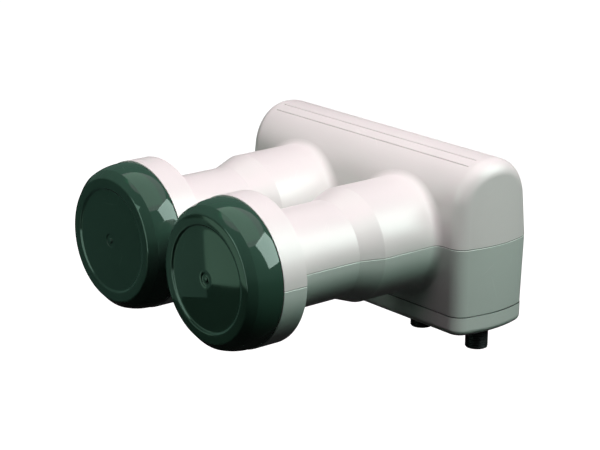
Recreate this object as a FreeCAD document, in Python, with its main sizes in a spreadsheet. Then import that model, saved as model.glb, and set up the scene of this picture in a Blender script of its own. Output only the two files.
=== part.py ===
"""Twin-feed satellite LNB with a two-piece moulded housing.

The frame: X runs along the housing from the left feed to the right one, the feeds look
towards -Y and the connectors point down, towards -Z. The origin lies midway between the
two clamp necks, on the height of their axes, which is also the parting plane of the housing.
All lengths are in millimetres and all angles in degrees.
"""
import FreeCAD, Part
import math
import os
from types import SimpleNamespace

import Sketcher
from FreeCAD import Vector

doc = FreeCAD.newDocument("TwinFeedLnb")
sheet = doc.addObject("Spreadsheet::Sheet", "Sizes")

SIZES = [
    # Feeds, necks and tubes
    ("neck_diameter", 40.0, "standard clamp neck"),
    ("neck_length", 36.0, "clamping length of a neck"),
    ("flange_diameter", 60.8, "ring behind the feed cap"),
    ("flange_length", 11.2, "length of that ring"),
    ("flange_gap", 1.7, "room between the two rings"),
    ("cone_length", 10.3, "taper from neck to tube"),
    ("tube_diameter", 47.3, "wide tube in front of the body"),
    ("tube_length", 28.7, "wide tube up to the body at the parting plane"),
    ("tube_root_share", 0.673, "fillet at a tube's root, as a share of the room under the tube"),
    # Body
    ("body_length", 140.0, "over the crowned ends"),
    ("body_depth", 40.5, "front to back at the parting plane"),
    ("body_top", 34.7, "top of the body above the parting plane"),
    ("crown_flat", 1.0, "flat left between the two round shoulders"),
    ("side_draft", 4.0, "lean of the upper front and back"),
    ("end_draft", 3.5, "lean of the upper ends"),
    ("end_crown", 4.0, "how far an end bulges over the depth"),
    ("edge_radius", 6.5, "round between an end and the sides"),
    ("lower_height", 29.0, "lower shell below the parting plane"),
    ("lower_front_inset", 1.4, "lower front wall, from top to bottom"),
    ("lower_back_inset", 0.2, "lower back wall, from top to bottom"),
    ("lower_end_inset", 1.0, "lower end walls, from top to bottom"),
    ("shell_wall", 2.4, "wall of both shells"),
    ("seam_bevel", 0.35, "bevel of the upper shell along the parting line"),
    ("seam_break", 0.15, "broken edge of the lower shell there"),
    ("foot_bevel", 0.35, "bevel of the lower shell over the cover"),
    ("groove_end_gap", 10.0, "grooves on the top, from the ends"),
    ("groove_radius", 0.42, "round bottom of a groove"),
    ("groove_outer", 9.8, "outer grooves from the middle of the depth"),
    ("groove_inner", 5.4, "inner grooves from the middle of the depth"),
    # Bottom cover
    ("cover_height", 8.2, "depth of the connector cover"),
    ("cover_proud", 0.12, "how far the cover stands out all round"),
    ("cover_wall", 2.0, "wall and floor of the cover"),
    ("cover_edge_radius", 2.8, "round of its lower edge"),
    ("cover_bevel", 0.15, "bevel of its upper edge"),
    ("hook_width", 6.0, "snap hook of the cover"),
    ("hook_thickness", 1.5, "thickness of that hook"),
    ("hook_barb", 0.7, "how far the hook catches"),
    ("hook_gap", 4.1, "hooks beside the screw pillars"),
    ("hook_offset", 11.0, "hooks from the middle of the depth"),
    # Feed caps
    ("cap_step", 0.4, "how far the ring stands out round a cap"),
    ("cap_depth", 13.8, "front face of a cap to the ring behind it"),
    ("cap_shoulder_inset", 1.7, "crease inside the widest circle of the cap"),
    ("cap_face_inset", 2.9, "edge of the front face inside that crease"),
    ("cap_shoulder_depth", 3.0, "crease behind the front face"),
    ("cap_rim_length", 2.2, "straight stretch in front of the ring"),
    ("cap_wall", 1.9, "wall of the cap"),
    ("cap_recess_inset", 3.4, "dished field inside the edge of the face"),
    ("cap_recess_depth", 0.55, "depth of that field at its rim"),
    ("cap_recess_slope", 38.0, "steepest slope of the rounded step"),
    ("cap_dome", 0.6, "rise of the field towards its middle"),
    ("cap_edge_radius", 1.1, "rounded edge of the front face"),
    ("gate_radius", 1.1, "gate mark in the middle"),
    ("gate_ring_radius", 2.7, "dimple round the gate mark"),
    ("gate_height", 0.25, "gate mark in front of the face"),
    ("gate_dimple", 0.3, "depth of the dimple"),
    ("spigot_length", 6.0, "collar that plugs into the ring"),
    ("spigot_wall", 2.0, "wall of that collar"),
    ("spigot_clearance", 0.2, "collar inside the ring, per side"),
    ("seal_section", 1.15, "thickness of the cap seal"),
    ("seal_clearance", 0.05, "room on either side of the seal"),
    ("seal_setback", 3.2, "middle of the seal behind the front of the ring"),
    # Cast chassis
    ("waveguide_diameter", 17.5, "round waveguide"),
    ("waveguide_wall", 2.75, "wall of the cast tube"),
    ("horn_flare", 2.3, "widening of the mouth, per side"),
    ("horn_mouth_gap", 9.0, "horn mouth behind the cap's face"),
    ("choke_wall", 1.4, "thickness of a choke ring"),
    ("choke_depth", 8.2, "depth of the innermost choke"),
    ("choke_step", 0.8, "each ring further out is lower by this"),
    ("horn_clearance", 0.4, "horn rim inside the cap's collar"),
    ("neck_rib_width", 1.8, "ribs that carry the neck"),
    ("neck_rib_clearance", 0.1, "ribs inside the shells' bore"),
    ("tray_end_gap", 3.0, "cast tray inside the end walls"),
    ("tray_top_gap", 9.2, "tray under the top of the body"),
    ("tray_floor_gap", 6.5, "tray above the underside of the lower shell"),
    ("tray_wall", 3.0, "walls and floor of the tray"),
    ("tray_depth", 5.6, "inside depth of the tray"),
    ("tray_corner_radius", 3.0, "outer corners of the tray"),
    ("boss_radius", 3.0, "screw bosses of the tray"),
    ("lid_screw_inset", 5.2, "outer lid screws from the edges of the tray"),
    ("lid_screw_feed_gap", 11.25, "upper inner lid screws inwards of the feed axes"),
    ("lid_screw_end_gap", 20.6, "lower outer lid screws from the ends of the tray"),
    ("lid_screw_middle", 8.5, "lower inner lid screws from the middle"),
    # Board, gasket and shield lid
    ("board_thickness", 1.2, "circuit board"),
    ("board_clearance", 0.3, "board inside the tray, per side"),
    ("probe_width", 1.6, "printed probe that reaches into the waveguide"),
    ("probe_length", 6.0, "its length from the wall"),
    ("gasket_thickness", 0.6, "sealing frame under the lid"),
    ("lid_thickness", 2.2, "shield lid"),
    ("backshort_depth", 6.6, "cup behind the board"),
    ("backshort_wall", 2.2, "wall of the cup"),
    ("lid_gap", 0.1, "lid walls above the board"),
    ("septum_thickness", 1.5, "shield walls under the lid"),
    ("septum_end_gap", 15.6, "outer shield walls from the ends of the tray"),
    ("puck_radius", 2.8, "ceramic resonator"),
    ("puck_height", 2.6, "its height on the board"),
    ("puck_end_gap", 10.6, "resonators from the ends of the tray"),
    ("puck_upper", 10.0, "upper resonators above the feed axes"),
    ("puck_lower", -5.0, "lower resonators"),
    ("tuning_screw_diameter", 4.0, "tuning screw over a resonator"),
    ("tuning_screw_length", 5.4, "its length"),
    ("tuning_screw_proud", 1.0, "how far it stands out of the lid"),
    ("chip_side", 9.0, "switching chip"),
    ("chip_height", 1.4, "its height"),
    ("chip_offset", 9.5, "chips from the middle"),
    ("chip_level", 8.0, "chips above the feed axes"),
    ("regulator_width", 6.5, "voltage regulator"),
    ("regulator_length", 9.0, "its length"),
    ("regulator_height", 2.3, "its height"),
    ("transistor_side", 2.2, "amplifier transistor"),
    ("transistor_height", 1.0, "its height"),
    ("transistor_gap", 3.0, "transistor beside its cup"),
    # F connectors
    ("connector_inner", 26.2, "inner connectors from the middle"),
    ("connector_end_gap", 11.0, "outer connectors from the ends of the body"),
    ("connector_diameter", 9.5, "outside of the thread"),
    ("connector_reach", 9.8, "how far a connector stands out of the cover"),
    ("connector_chamfer", 0.7, "bevel of its end"),
    ("connector_collar_radius", 5.0, "smooth collar over the thread"),
    ("connector_flange_radius", 5.8, "shoulder under the tray"),
    ("connector_flange_thickness", 1.8, "thickness of that shoulder"),
    ("connector_spigot_radius", 3.2, "stub in the tray's wall"),
    ("connector_bore_radius", 3.4, "inside of the barrel"),
    ("connector_throat_radius", 2.1, "inside of the stub"),
    ("connector_clearance", 0.2, "collar in the shell's floor, per side"),
    ("cover_hole_clearance", 0.6, "collar in the cover's floor, per side"),
    ("insulator_setback", 0.5, "insulator behind the end of the barrel"),
    ("contact_radius", 1.0, "centre contact"),
    ("contact_bore_radius", 0.5, "socket for the cable's core"),
    ("contact_bore_length", 8.0, "depth of that socket"),
    ("pin_radius", 0.45, "solder pin of the contact"),
    ("pin_length", 5.5, "pin over the board"),
    # Housing screws
    ("pillar_feed_gap", 2.85, "screw pillars outwards of the waveguides"),
    ("pillar_side_gap", 6.75, "screw pillars from its front and its back"),
    ("pillar_radius", 4.4, "pillar of the lower shell"),
    ("pillar_bore_radius", 3.3, "deep counterbore for the head"),
    ("pillar_shoulder", 6.0, "material under the parting plane"),
    ("boss_outer_radius", 3.6, "boss of the upper shell"),
    ("boss_top_gap", 12.7, "its top under the top of the body"),
    ("screw_diameter", 3.0, "housing screw"),
    ("screw_head_radius", 2.8, "its head"),
    ("screw_head_height", 2.2, "height of the head"),
    ("screw_grip", 12.0, "thread in the upper boss"),
    ("lid_screw_diameter", 2.5, "lid screw"),
    ("lid_screw_head_radius", 2.3, "its head"),
    ("lid_screw_head_height", 1.6, "height of its head"),
    ("lid_screw_length", 6.0, "its shank"),
    ("screw_clearance", 0.2, "screw in a through hole, per side"),
    ("thread_clearance", 0.05, "screw in its thread, per side"),
]


def fill_sheet():
    """Write every driving dimension to the sheet, one row each."""
    for row, (alias, number, note) in enumerate(SIZES, 1):
        sheet.set(f"A{row}", note)
        sheet.set(f"B{row}", str(number))
        sheet.setAlias(f"B{row}", alias)
    doc.recompute()


class Size:
    """A length or an angle: its number now, and the sheet formula that it follows."""

    def __init__(self, number, formula):
        self.number = float(number)
        self.formula = formula

    def __add__(self, other):
        return combine(self, "+", other, self.number + number_of(other))

    def __radd__(self, other):
        return combine(other, "+", self, number_of(other) + self.number)

    def __sub__(self, other):
        return combine(self, "-", other, self.number - number_of(other))

    def __rsub__(self, other):
        return combine(other, "-", self, number_of(other) - self.number)

    def __mul__(self, other):
        return combine(self, "*", other, self.number * number_of(other))

    def __rmul__(self, other):
        return combine(other, "*", self, number_of(other) * self.number)

    def __truediv__(self, other):
        return combine(self, "/", other, self.number / number_of(other))

    def __neg__(self):
        return Size(-self.number, f"(-1 * {self.formula})")


def number_of(value):
    """The plain number of a size or of a number."""
    return value.number if isinstance(value, Size) else float(value)


def formula_of(value):
    """The sheet formula of a size or of a number."""
    return value.formula if isinstance(value, Size) else repr(float(value))


def combine(first, sign, second, number):
    """A size worked out from two others."""
    return Size(number, f"({formula_of(first)} {sign} {formula_of(second)})")


def root(value):
    """Square root of a size."""
    return Size(math.sqrt(value.number), f"sqrt({value.formula})")


def turned(name, angle):
    """Sine, cosine or tangent of an angle in degrees."""
    number = getattr(math, name)(math.radians(angle.number))
    return Size(number, f"{name}({angle.formula} * 1 deg)")


def plain(number):
    """A fixed number as a size."""
    return Size(number, repr(float(number)))


fill_sheet()
z = SimpleNamespace(**{alias: Size(sheet.get(alias), f"Sizes.{alias}") for alias, _, _ in SIZES})

# Stations along Y, from the front of a cap to the back of the body
FLANGE_BACK = -(z.neck_length / 2)
FLANGE_FRONT = FLANGE_BACK - z.flange_length
CAP_FACE = FLANGE_FRONT - z.cap_depth
NECK_BACK = z.neck_length / 2
CONE_BACK = NECK_BACK + z.cone_length
BODY_FRONT = CONE_BACK + z.tube_length
BODY_MIDDLE = BODY_FRONT + z.body_depth / 2
BODY_BACK = BODY_FRONT + z.body_depth
BOARD_BACK = BODY_MIDDLE - z.pin_radius
TRAY_FLOOR = BOARD_BACK - z.board_thickness
TRAY_FRONT = TRAY_FLOOR - z.tray_wall
TRAY_BACK = TRAY_FLOOR + z.tray_depth
LID_FRONT = TRAY_BACK + z.gasket_thickness
LID_BACK = LID_FRONT + z.lid_thickness

# Radii about a feed axis
FLANGE_RADIUS = z.flange_diameter / 2
CAP_RADIUS = FLANGE_RADIUS - z.cap_step
SHOULDER_RADIUS = CAP_RADIUS - z.cap_shoulder_inset
FACE_RADIUS = SHOULDER_RADIUS - z.cap_face_inset
RECESS_RADIUS = FACE_RADIUS - z.cap_recess_inset
NECK_RADIUS = z.neck_diameter / 2
TUBE_RADIUS = z.tube_diameter / 2
TUBE_ROOT = (z.lower_height - TUBE_RADIUS) * z.tube_root_share
FLANGE_BORE = FLANGE_RADIUS - z.shell_wall
NECK_BORE = NECK_RADIUS - z.shell_wall
TUBE_BORE = TUBE_RADIUS - z.shell_wall
SPIGOT_OUTSIDE = FLANGE_BORE - z.spigot_clearance
SPIGOT_INSIDE = SPIGOT_OUTSIDE - z.spigot_wall
GUIDE_BORE = z.waveguide_diameter / 2
GUIDE_OUTSIDE = GUIDE_BORE + z.waveguide_wall
CUP_OUTSIDE = GUIDE_BORE + z.backshort_wall

# Levels along Z, from the parting plane down
PARTING = plain(0)
LOWER_FLOOR = -z.lower_height
COVER_FLOOR = LOWER_FLOOR - z.cover_height
CONNECTOR_END = COVER_FLOOR - z.connector_reach
TRAY_UNDERSIDE = LOWER_FLOOR + z.tray_floor_gap
TRAY_SHELF = TRAY_UNDERSIDE + z.tray_wall
FLANGE_UNDERSIDE = TRAY_UNDERSIDE - z.connector_flange_thickness
FLOOR_TOP = LOWER_FLOOR + z.shell_wall
TRAY_TOP = z.body_top - z.tray_top_gap

# The body seen from above and from its end
HALF_LENGTH = z.body_length / 2
HALF_DEPTH = z.body_depth / 2
END_CURVE = (HALF_DEPTH * HALF_DEPTH + z.end_crown * z.end_crown) / (2 * z.end_crown)
DRAFT_SIN = turned("sin", z.side_draft)
DRAFT_COS = turned("cos", z.side_draft)
CROWN_OFFSET = z.crown_flat / 2
CROWN_RADIUS = ((HALF_DEPTH - CROWN_OFFSET) * DRAFT_COS - z.body_top * DRAFT_SIN) / (1 - DRAFT_SIN)
CROWN_LEVEL = z.body_top - CROWN_RADIUS

# Places along the length, from the middle
FEED_OFFSET = (z.flange_diameter + z.flange_gap) / 2
TRAY_HALF = HALF_LENGTH - z.shell_wall - z.tray_end_gap
PILLAR_OFFSET = FEED_OFFSET + GUIDE_OUTSIDE + z.pillar_radius + z.pillar_feed_gap
PILLAR_DEPTH = HALF_DEPTH - z.pillar_side_gap
HOOK_OFFSET = PILLAR_OFFSET - z.pillar_radius - z.hook_gap - z.hook_width / 2
PUCK_OFFSET = TRAY_HALF - z.puck_end_gap
OUTER_CONNECTOR = HALF_LENGTH - z.connector_end_gap

CONNECTORS = {
    "connector_1": -OUTER_CONNECTOR,
    "connector_2": -z.connector_inner,
    "connector_3": z.connector_inner,
    "connector_4": OUTER_CONNECTOR,
}
LID_SCREW_HIGH = TRAY_TOP - z.lid_screw_inset
LID_SCREW_LOW = TRAY_UNDERSIDE + z.lid_screw_inset
LID_SCREW_ROWS = [
    (TRAY_HALF - z.lid_screw_inset, LID_SCREW_HIGH), (FEED_OFFSET - z.lid_screw_feed_gap, LID_SCREW_HIGH),
    (TRAY_HALF - z.lid_screw_end_gap, LID_SCREW_LOW), (z.lid_screw_middle, LID_SCREW_LOW),
]
LID_SCREW_PLACES = [(side * offset, level) for offset, level in LID_SCREW_ROWS for side in (-1, 1)]
FEEDS = {"left": -FEED_OFFSET, "right": FEED_OFFSET}

# How far a cut starts before the face that it opens, and how near counts as the same place
OVERCUT = 1
TINY = 0.05

nodes = {}


def set_up(feature, **settings):
    """Give a feature its settings, bound to the sheet where they are sizes."""
    for name, value in settings.items():
        if isinstance(value, Size):
            feature.setExpression(name, value.formula)
        else:
            setattr(feature, name, value)
    return feature


def new_body(label):
    """An empty body whose label names its file."""
    body = doc.addObject("PartDesign::Body", label)
    body.Label = label
    return body


def origin_plane(body, role):
    """One of the body's own origin planes."""
    return next(item for item in body.Origin.OriginFeatures if item.Role == role)


def new_sketch(body, name, role, u=0, v=0, out=0):
    """A sketch on an origin plane, shifted within the plane and out of it."""
    sketch = body.newObject("Sketcher::SketchObject", name)
    sketch.AttachmentSupport = [(origin_plane(body, role), "")]
    sketch.MapMode = "FlatFace"
    for axis, shift in (("x", u), ("y", v), ("z", out)):
        if isinstance(shift, Size):
            sketch.setExpression(f"AttachmentOffset.Base.{axis}", shift.formula)
    return sketch


def hold(sketch, index, point, u, v):
    """Fix one point of a sketch at its two distances from the sketch's origin."""
    for kind, axis, distance in (("DistanceX", -2, u), ("DistanceY", -1, v)):
        if isinstance(distance, Size):
            constraint = Sketcher.Constraint(kind, -1, 1, index, point, distance.number)
            sketch.setExpression(f"Constraints[{sketch.addConstraint(constraint)}]", distance.formula)
        else:
            sketch.addConstraint(Sketcher.Constraint("PointOnObject", index, point, axis))


def arc_between(start, end, radius):
    """The short arc to the right of the way from start to end, or to the left if radius < 0."""
    chord = end - start
    middle = (start + end) / 2
    side = Vector(-chord.y, chord.x, 0).normalize()
    rise = math.sqrt(max(radius * radius - (chord.Length / 2) ** 2, 0))
    centre = middle + side * math.copysign(rise, radius)
    first, last = (start, end) if radius > 0 else (end, start)
    angles = [math.atan2(point.y - centre.y, point.x - centre.x) for point in (first, last)]
    return Part.ArcOfCircle(Part.Circle(centre, Vector(0, 0, 1), abs(radius)), *angles)


def outline(sketch, corners):
    """One closed outline. A corner is (u, v), or (u, v, radius) where an arc starts there."""
    base = sketch.GeometryCount
    points = [Vector(number_of(corner[0]), number_of(corner[1]), 0) for corner in corners]
    count = len(corners)
    ends = []
    for index, corner in enumerate(corners):
        start, end = points[index], points[(index + 1) % count]
        if len(corner) == 3:
            radius = number_of(corner[2])
            sketch.addGeometry(arc_between(start, end, radius))
            ends.append((1, 2) if radius > 0 else (2, 1))
        else:
            sketch.addGeometry(Part.LineSegment(start, end))
            ends.append((1, 2))
    for index, corner in enumerate(corners):
        after = (index + 1) % count
        joint = (base + index, ends[index][1], base + after, ends[after][0])
        sketch.addConstraint(Sketcher.Constraint("Coincident", *joint))
        hold(sketch, base + index, ends[index][0], corner[0], corner[1])
        if len(corner) == 3:
            radius = corner[2] if corner[2].number > 0 else -corner[2]
            constraint = Sketcher.Constraint("Radius", base + index, radius.number)
            sketch.setExpression(f"Constraints[{sketch.addConstraint(constraint)}]", radius.formula)


def rectangle(sketch, left, right, low, high, radius=None):
    """A rectangle, with round corners where a radius is given."""
    if radius is None:
        outline(sketch, [(left, low), (right, low), (right, high), (left, high)])
        return
    outline(sketch, [
        (left + radius, low), (right - radius, low, radius),
        (right, low + radius), (right, high - radius, radius),
        (right - radius, high), (left + radius, high, radius),
        (left, high - radius), (left, low + radius, radius),
    ])


def circle(sketch, u, v, radius):
    """A full circle."""
    centre = Vector(number_of(u), number_of(v), 0)
    index = sketch.addGeometry(Part.Circle(centre, Vector(0, 0, 1), radius.number))
    hold(sketch, index, 3, u, v)
    constraint = Sketcher.Constraint("Radius", index, radius.number)
    sketch.setExpression(f"Constraints[{sketch.addConstraint(constraint)}]", radius.formula)


PLANE_OF = {"x": "YZ_Plane", "y": "XZ_Plane", "z": "XY_Plane"}


def extrude(body, name, axis, start, length, draw, cut=False, back=False, **settings):
    """Add or cut a prism from a station along an axis, forwards or back, over a length."""
    shift = -start if axis == "y" else start
    sketch = new_sketch(body, f"{name}_sketch", PLANE_OF[axis], out=shift)
    draw(sketch)
    kind = "PartDesign::Pocket" if cut else "PartDesign::Pad"
    feature = body.newObject(kind, name)
    feature.Profile = sketch
    along_normal = (axis != "y") != back
    feature.Reversed = along_normal if cut else not along_normal
    return set_up(feature, Length=length, **settings)


def revolve(body, name, profile, x_place=0, angle=360, upper=False, cut=False):
    """Turn a profile of (radius, y) corners about the line x = x_place that runs along Y."""
    sketch = new_sketch(body, f"{name}_sketch", "XY_Plane", u=x_place)
    outline(sketch, profile)
    kind = "PartDesign::Groove" if cut else "PartDesign::Revolution"
    feature = body.newObject(kind, name)
    feature.Profile = sketch
    feature.ReferenceAxis = (sketch, ["V_Axis"])
    feature.Reversed = upper
    return set_up(feature, Angle=angle)


def turn(body, name, profile, cut=False):
    """Turn a profile of (radius, z) corners about the body's own Z axis."""
    sketch = new_sketch(body, f"{name}_sketch", "XZ_Plane")
    outline(sketch, profile)
    feature = body.newObject("PartDesign::Groove" if cut else "PartDesign::Revolution", name)
    feature.Profile = sketch
    feature.ReferenceAxis = (sketch, ["V_Axis"])
    return set_up(feature, Angle=360)


def edges_of(feature, test):
    """Names of the edges of a feature that pass a test."""
    doc.recompute()
    return [f"Edge{n}" for n, edge in enumerate(feature.Shape.Edges, 1) if test(edge)]


def soften(body, name, feature, radius, test, bevel=False):
    """Round or bevel the edges of a feature that pass a test."""
    kind = "PartDesign::Chamfer" if bevel else "PartDesign::Fillet"
    names = edges_of(feature, test)
    softened = body.newObject(kind, name)
    softened.Base = (feature, names)
    return set_up(softened, **{"Size" if bevel else "Radius": radius})


def middle_of(edge):
    """The point halfway along an edge."""
    return edge.valueAt((edge.FirstParameter + edge.LastParameter) / 2)


def place(body, **shifts):
    """Put a body where it belongs, bound to the sheet."""
    for axis, shift in shifts.items():
        body.setExpression(f"Placement.Base.{axis}", shift.formula)


def keep(label, item):
    """Note a finished piece under the name of its file."""
    item.Label = label
    nodes[label] = item
    return item


def group(label, items):
    """Several like pieces as separate solids of one node."""
    bundle = doc.addObject("Part::Compound", label)
    bundle.Links = items
    return keep(label, bundle)


def plan(half_length, front, back):
    """A drawing of an outline seen from above, with crowned ends."""
    half_depth = (back - front) / 2
    fall = END_CURVE - root(END_CURVE * END_CURVE - half_depth * half_depth)
    corner = half_length - fall
    return lambda sketch: outline(sketch, [
        (-corner, front), (corner, front, END_CURVE), (corner, back), (-corner, back, END_CURVE),
    ])


def lower_plan(share, inset):
    """The lower shell's outline at a share of its height down, moved inwards by an inset."""
    return plan(HALF_LENGTH - share * z.lower_end_inset - inset,
                BODY_FRONT + share * z.lower_front_inset + inset,
                BODY_BACK - share * z.lower_back_inset - inset)


def loft(body, name, top, bottom, bottom_level, cut=False):
    """Add or cut a block between a drawing on the parting plane and one below it."""
    sketches = []
    for part, draw, level in (("top", top, 0), ("bottom", bottom, bottom_level)):
        sketch = new_sketch(body, f"{name}_{part}_sketch", "XY_Plane", out=level)
        draw(sketch)
        sketches.append(sketch)
    feature = body.newObject("PartDesign::SubtractiveLoft" if cut else "PartDesign::AdditiveLoft", name)
    feature.Profile = sketches[0]
    feature.Sections = sketches[1:]
    feature.Ruled = True
    return feature


def section(sketch, inset):
    """The arched section of the upper shell, moved inwards by its inset."""
    radius = CROWN_RADIUS - inset
    foot = HALF_DEPTH - inset / DRAFT_COS + OVERCUT * turned("tan", z.side_draft)
    knee = CROWN_OFFSET + radius * DRAFT_COS
    knee_level = CROWN_LEVEL + radius * DRAFT_SIN
    top = z.body_top - inset
    outline(sketch, [
        (BODY_MIDDLE - foot, PARTING - OVERCUT), (BODY_MIDDLE + foot, PARTING - OVERCUT),
        (BODY_MIDDLE + knee, knee_level, radius), (BODY_MIDDLE + CROWN_OFFSET, top),
        (BODY_MIDDLE - CROWN_OFFSET, top, radius), (BODY_MIDDLE - knee, knee_level),
    ])


def arched_block(body, inset, start, height):
    """The body above the parting plane with its rounded ends, or the room inside it."""
    margin = z.shell_wall

    def around_section(sketch):
        rectangle(sketch, BODY_FRONT - 2 * margin, BODY_BACK + 2 * margin, -2 * margin,
                  z.body_top + 2 * margin)
        section(sketch, inset)

    def round_an_end(edge):
        point = middle_of(edge)
        reach = HALF_LENGTH.number - inset.number - z.edge_radius.number
        return point.z > TINY and abs(point.x) > reach

    extrude(body, "block", "z", start, height,
            plan(HALF_LENGTH - inset, BODY_FRONT - margin, BODY_BACK + margin), TaperAngle=-z.end_draft)
    arch = extrude(body, "arch", "x", PARTING, z.body_length * 2, around_section, cut=True, Midplane=True)
    return soften(body, "end_rounds", arch, z.edge_radius - inset, round_an_end)


def runs_down(edge):
    """Whether an edge runs down a corner of a block."""
    return edge.BoundBox.ZLength > TINY


def on_tube_root(edge):
    """Whether an edge is part of the line where a tube meets the body's front."""
    point = middle_of(edge)
    from_axis = math.hypot(abs(point.x) - FEED_OFFSET.number, point.z)
    return (abs(from_axis - TUBE_RADIUS.number) < TINY and runs_down(edge)
            and point.y > CONE_BACK.number + TINY)


def on_seam(edge):
    """Whether an edge lies in the parting plane, the front ends of the tubes left out."""
    box = edge.BoundBox
    return abs(middle_of(edge).z) < TINY and not runs_down(edge) and box.YMax > FLANGE_FRONT.number + TINY


def half_tubes(body, upper):
    """The outside of both feed tubes, from the ring to inside the body."""
    profile = [
        (0, FLANGE_FRONT), (FLANGE_RADIUS, FLANGE_FRONT), (FLANGE_RADIUS, FLANGE_BACK),
        (NECK_RADIUS, FLANGE_BACK), (NECK_RADIUS, NECK_BACK), (TUBE_RADIUS, CONE_BACK),
        (TUBE_RADIUS, BODY_MIDDLE), (0, BODY_MIDDLE),
    ]
    for side, x_place in FEEDS.items():
        tube = revolve(body, f"tube_{side}", profile, x_place, angle=180, upper=upper)
    return tube


def tube_bores(body):
    """The inside of both feed tubes, open to the body."""
    past_wall = BODY_FRONT + z.shell_wall * 2
    ahead = FLANGE_FRONT - OVERCUT
    profile = [
        (0, ahead), (FLANGE_BORE, ahead), (FLANGE_BORE, FLANGE_BACK - z.shell_wall),
        (NECK_BORE, FLANGE_BACK - z.shell_wall), (NECK_BORE, NECK_BACK), (TUBE_BORE, CONE_BACK),
        (TUBE_BORE, past_wall), (0, past_wall),
    ]
    for side, x_place in FEEDS.items():
        revolve(body, f"bore_{side}", profile, x_place, cut=True)


def pillar_places():
    """Where the four housing screws stand."""
    return [
        (side * PILLAR_OFFSET, BODY_MIDDLE + way * PILLAR_DEPTH)
        for side in (-1, 1) for way in (-1, 1)
    ]


def circles(places, radius):
    """A drawing of equal circles."""
    def draw(sketch):
        for u, v in places:
            circle(sketch, u, v, radius)
    return draw


def make_upper_shell():
    """Upper half of the housing, with the upper halves of both tubes."""
    core = new_body("upper_core")
    arched_block(core, z.shell_wall, PARTING - z.seam_bevel, z.body_top)
    body = new_body("upper_shell")
    arched_block(body, PARTING, PARTING, z.body_top + z.shell_wall)
    tubes = half_tubes(body, upper=True)
    roots = soften(body, "tube_roots", tubes, TUBE_ROOT, on_tube_root)
    soften(body, "seam", roots, z.seam_bevel, on_seam, bevel=True)

    def grooves(sketch):
        for offset in (z.groove_outer, z.groove_inner):
            run = offset - CROWN_OFFSET
            level = CROWN_LEVEL + root(CROWN_RADIUS * CROWN_RADIUS - run * run)
            for way in (-1, 1):
                circle(sketch, BODY_MIDDLE + way * offset, level, z.groove_radius)

    extrude(body, "top_grooves", "x", PARTING, z.body_length - 2 * z.groove_end_gap, grooves,
            cut=True, Midplane=True)
    cavity = body.newObject("PartDesign::Boolean", "cavity")
    cavity.Type = "Cut"
    cavity.addObject(core)
    tube_bores(body)
    extrude(body, "bosses", "z", PARTING, z.body_top - z.boss_top_gap,
            circles(pillar_places(), z.boss_outer_radius))
    pilot = z.screw_diameter / 2 + z.thread_clearance
    extrude(body, "pilot_holes", "z", PARTING, z.screw_grip + z.screw_diameter / 2,
            circles(pillar_places(), pilot), cut=True)
    return keep("upper_shell", body)


def connector_places():
    """Where the four connectors stand, seen from above."""
    return [(x_place, BODY_MIDDLE) for x_place in CONNECTORS.values()]


def hook_places():
    """Where the cover's four hooks stand along X, and whether each faces the front or the back."""
    return [(side * HOOK_OFFSET, way) for side in (-1, 1) for way in (-1, 1)]


def make_lower_shell():
    """Lower half of the housing, with the lower halves of both tubes."""
    body = new_body("lower_shell")
    block = loft(body, "block", lower_plan(0, 0), lower_plan(1, 0), LOWER_FLOOR)
    corners = soften(body, "corners", block, z.edge_radius, runs_down)
    soften(body, "foot", corners, z.foot_bevel,
           lambda edge: abs(edge.BoundBox.ZMax - LOWER_FLOOR.number) < TINY, bevel=True)
    tubes = half_tubes(body, upper=False)
    roots = soften(body, "tube_roots", tubes, TUBE_ROOT, on_tube_root)
    soften(body, "seam", roots, z.seam_break, on_seam, bevel=True)
    floor_share = 1 - z.shell_wall / z.lower_height
    loft(body, "cavity", lower_plan(0, z.shell_wall), lower_plan(floor_share, z.shell_wall),
         FLOOR_TOP, cut=True)
    tube_bores(body)
    extrude(body, "pillars", "z", LOWER_FLOOR, z.lower_height, circles(pillar_places(), z.pillar_radius))
    extrude(body, "counterbores", "z", LOWER_FLOOR, z.lower_height - z.pillar_shoulder,
            circles(pillar_places(), z.pillar_bore_radius), cut=True)
    through = z.screw_diameter / 2 + z.screw_clearance
    extrude(body, "screw_holes", "z", LOWER_FLOOR, z.lower_height + OVERCUT,
            circles(pillar_places(), through), cut=True)
    collar_hole = z.connector_collar_radius + z.connector_clearance
    extrude(body, "connector_holes", "z", LOWER_FLOOR, z.shell_wall + OVERCUT,
            circles(connector_places(), collar_hole), cut=True)

    def slots(sketch):
        for x_place, way in hook_places():
            near = BODY_MIDDLE + way * (z.hook_offset - z.hook_thickness)
            far = BODY_MIDDLE + way * (z.hook_offset + z.hook_barb / 2)
            half = z.hook_width / 2 + z.screw_clearance
            low, high = (near, far) if way > 0 else (far, near)
            rectangle(sketch, x_place - half, x_place + half, low, high)

    extrude(body, "hook_slots", "z", LOWER_FLOOR, z.shell_wall + OVERCUT, slots, cut=True)
    return keep("lower_shell", body)


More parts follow.
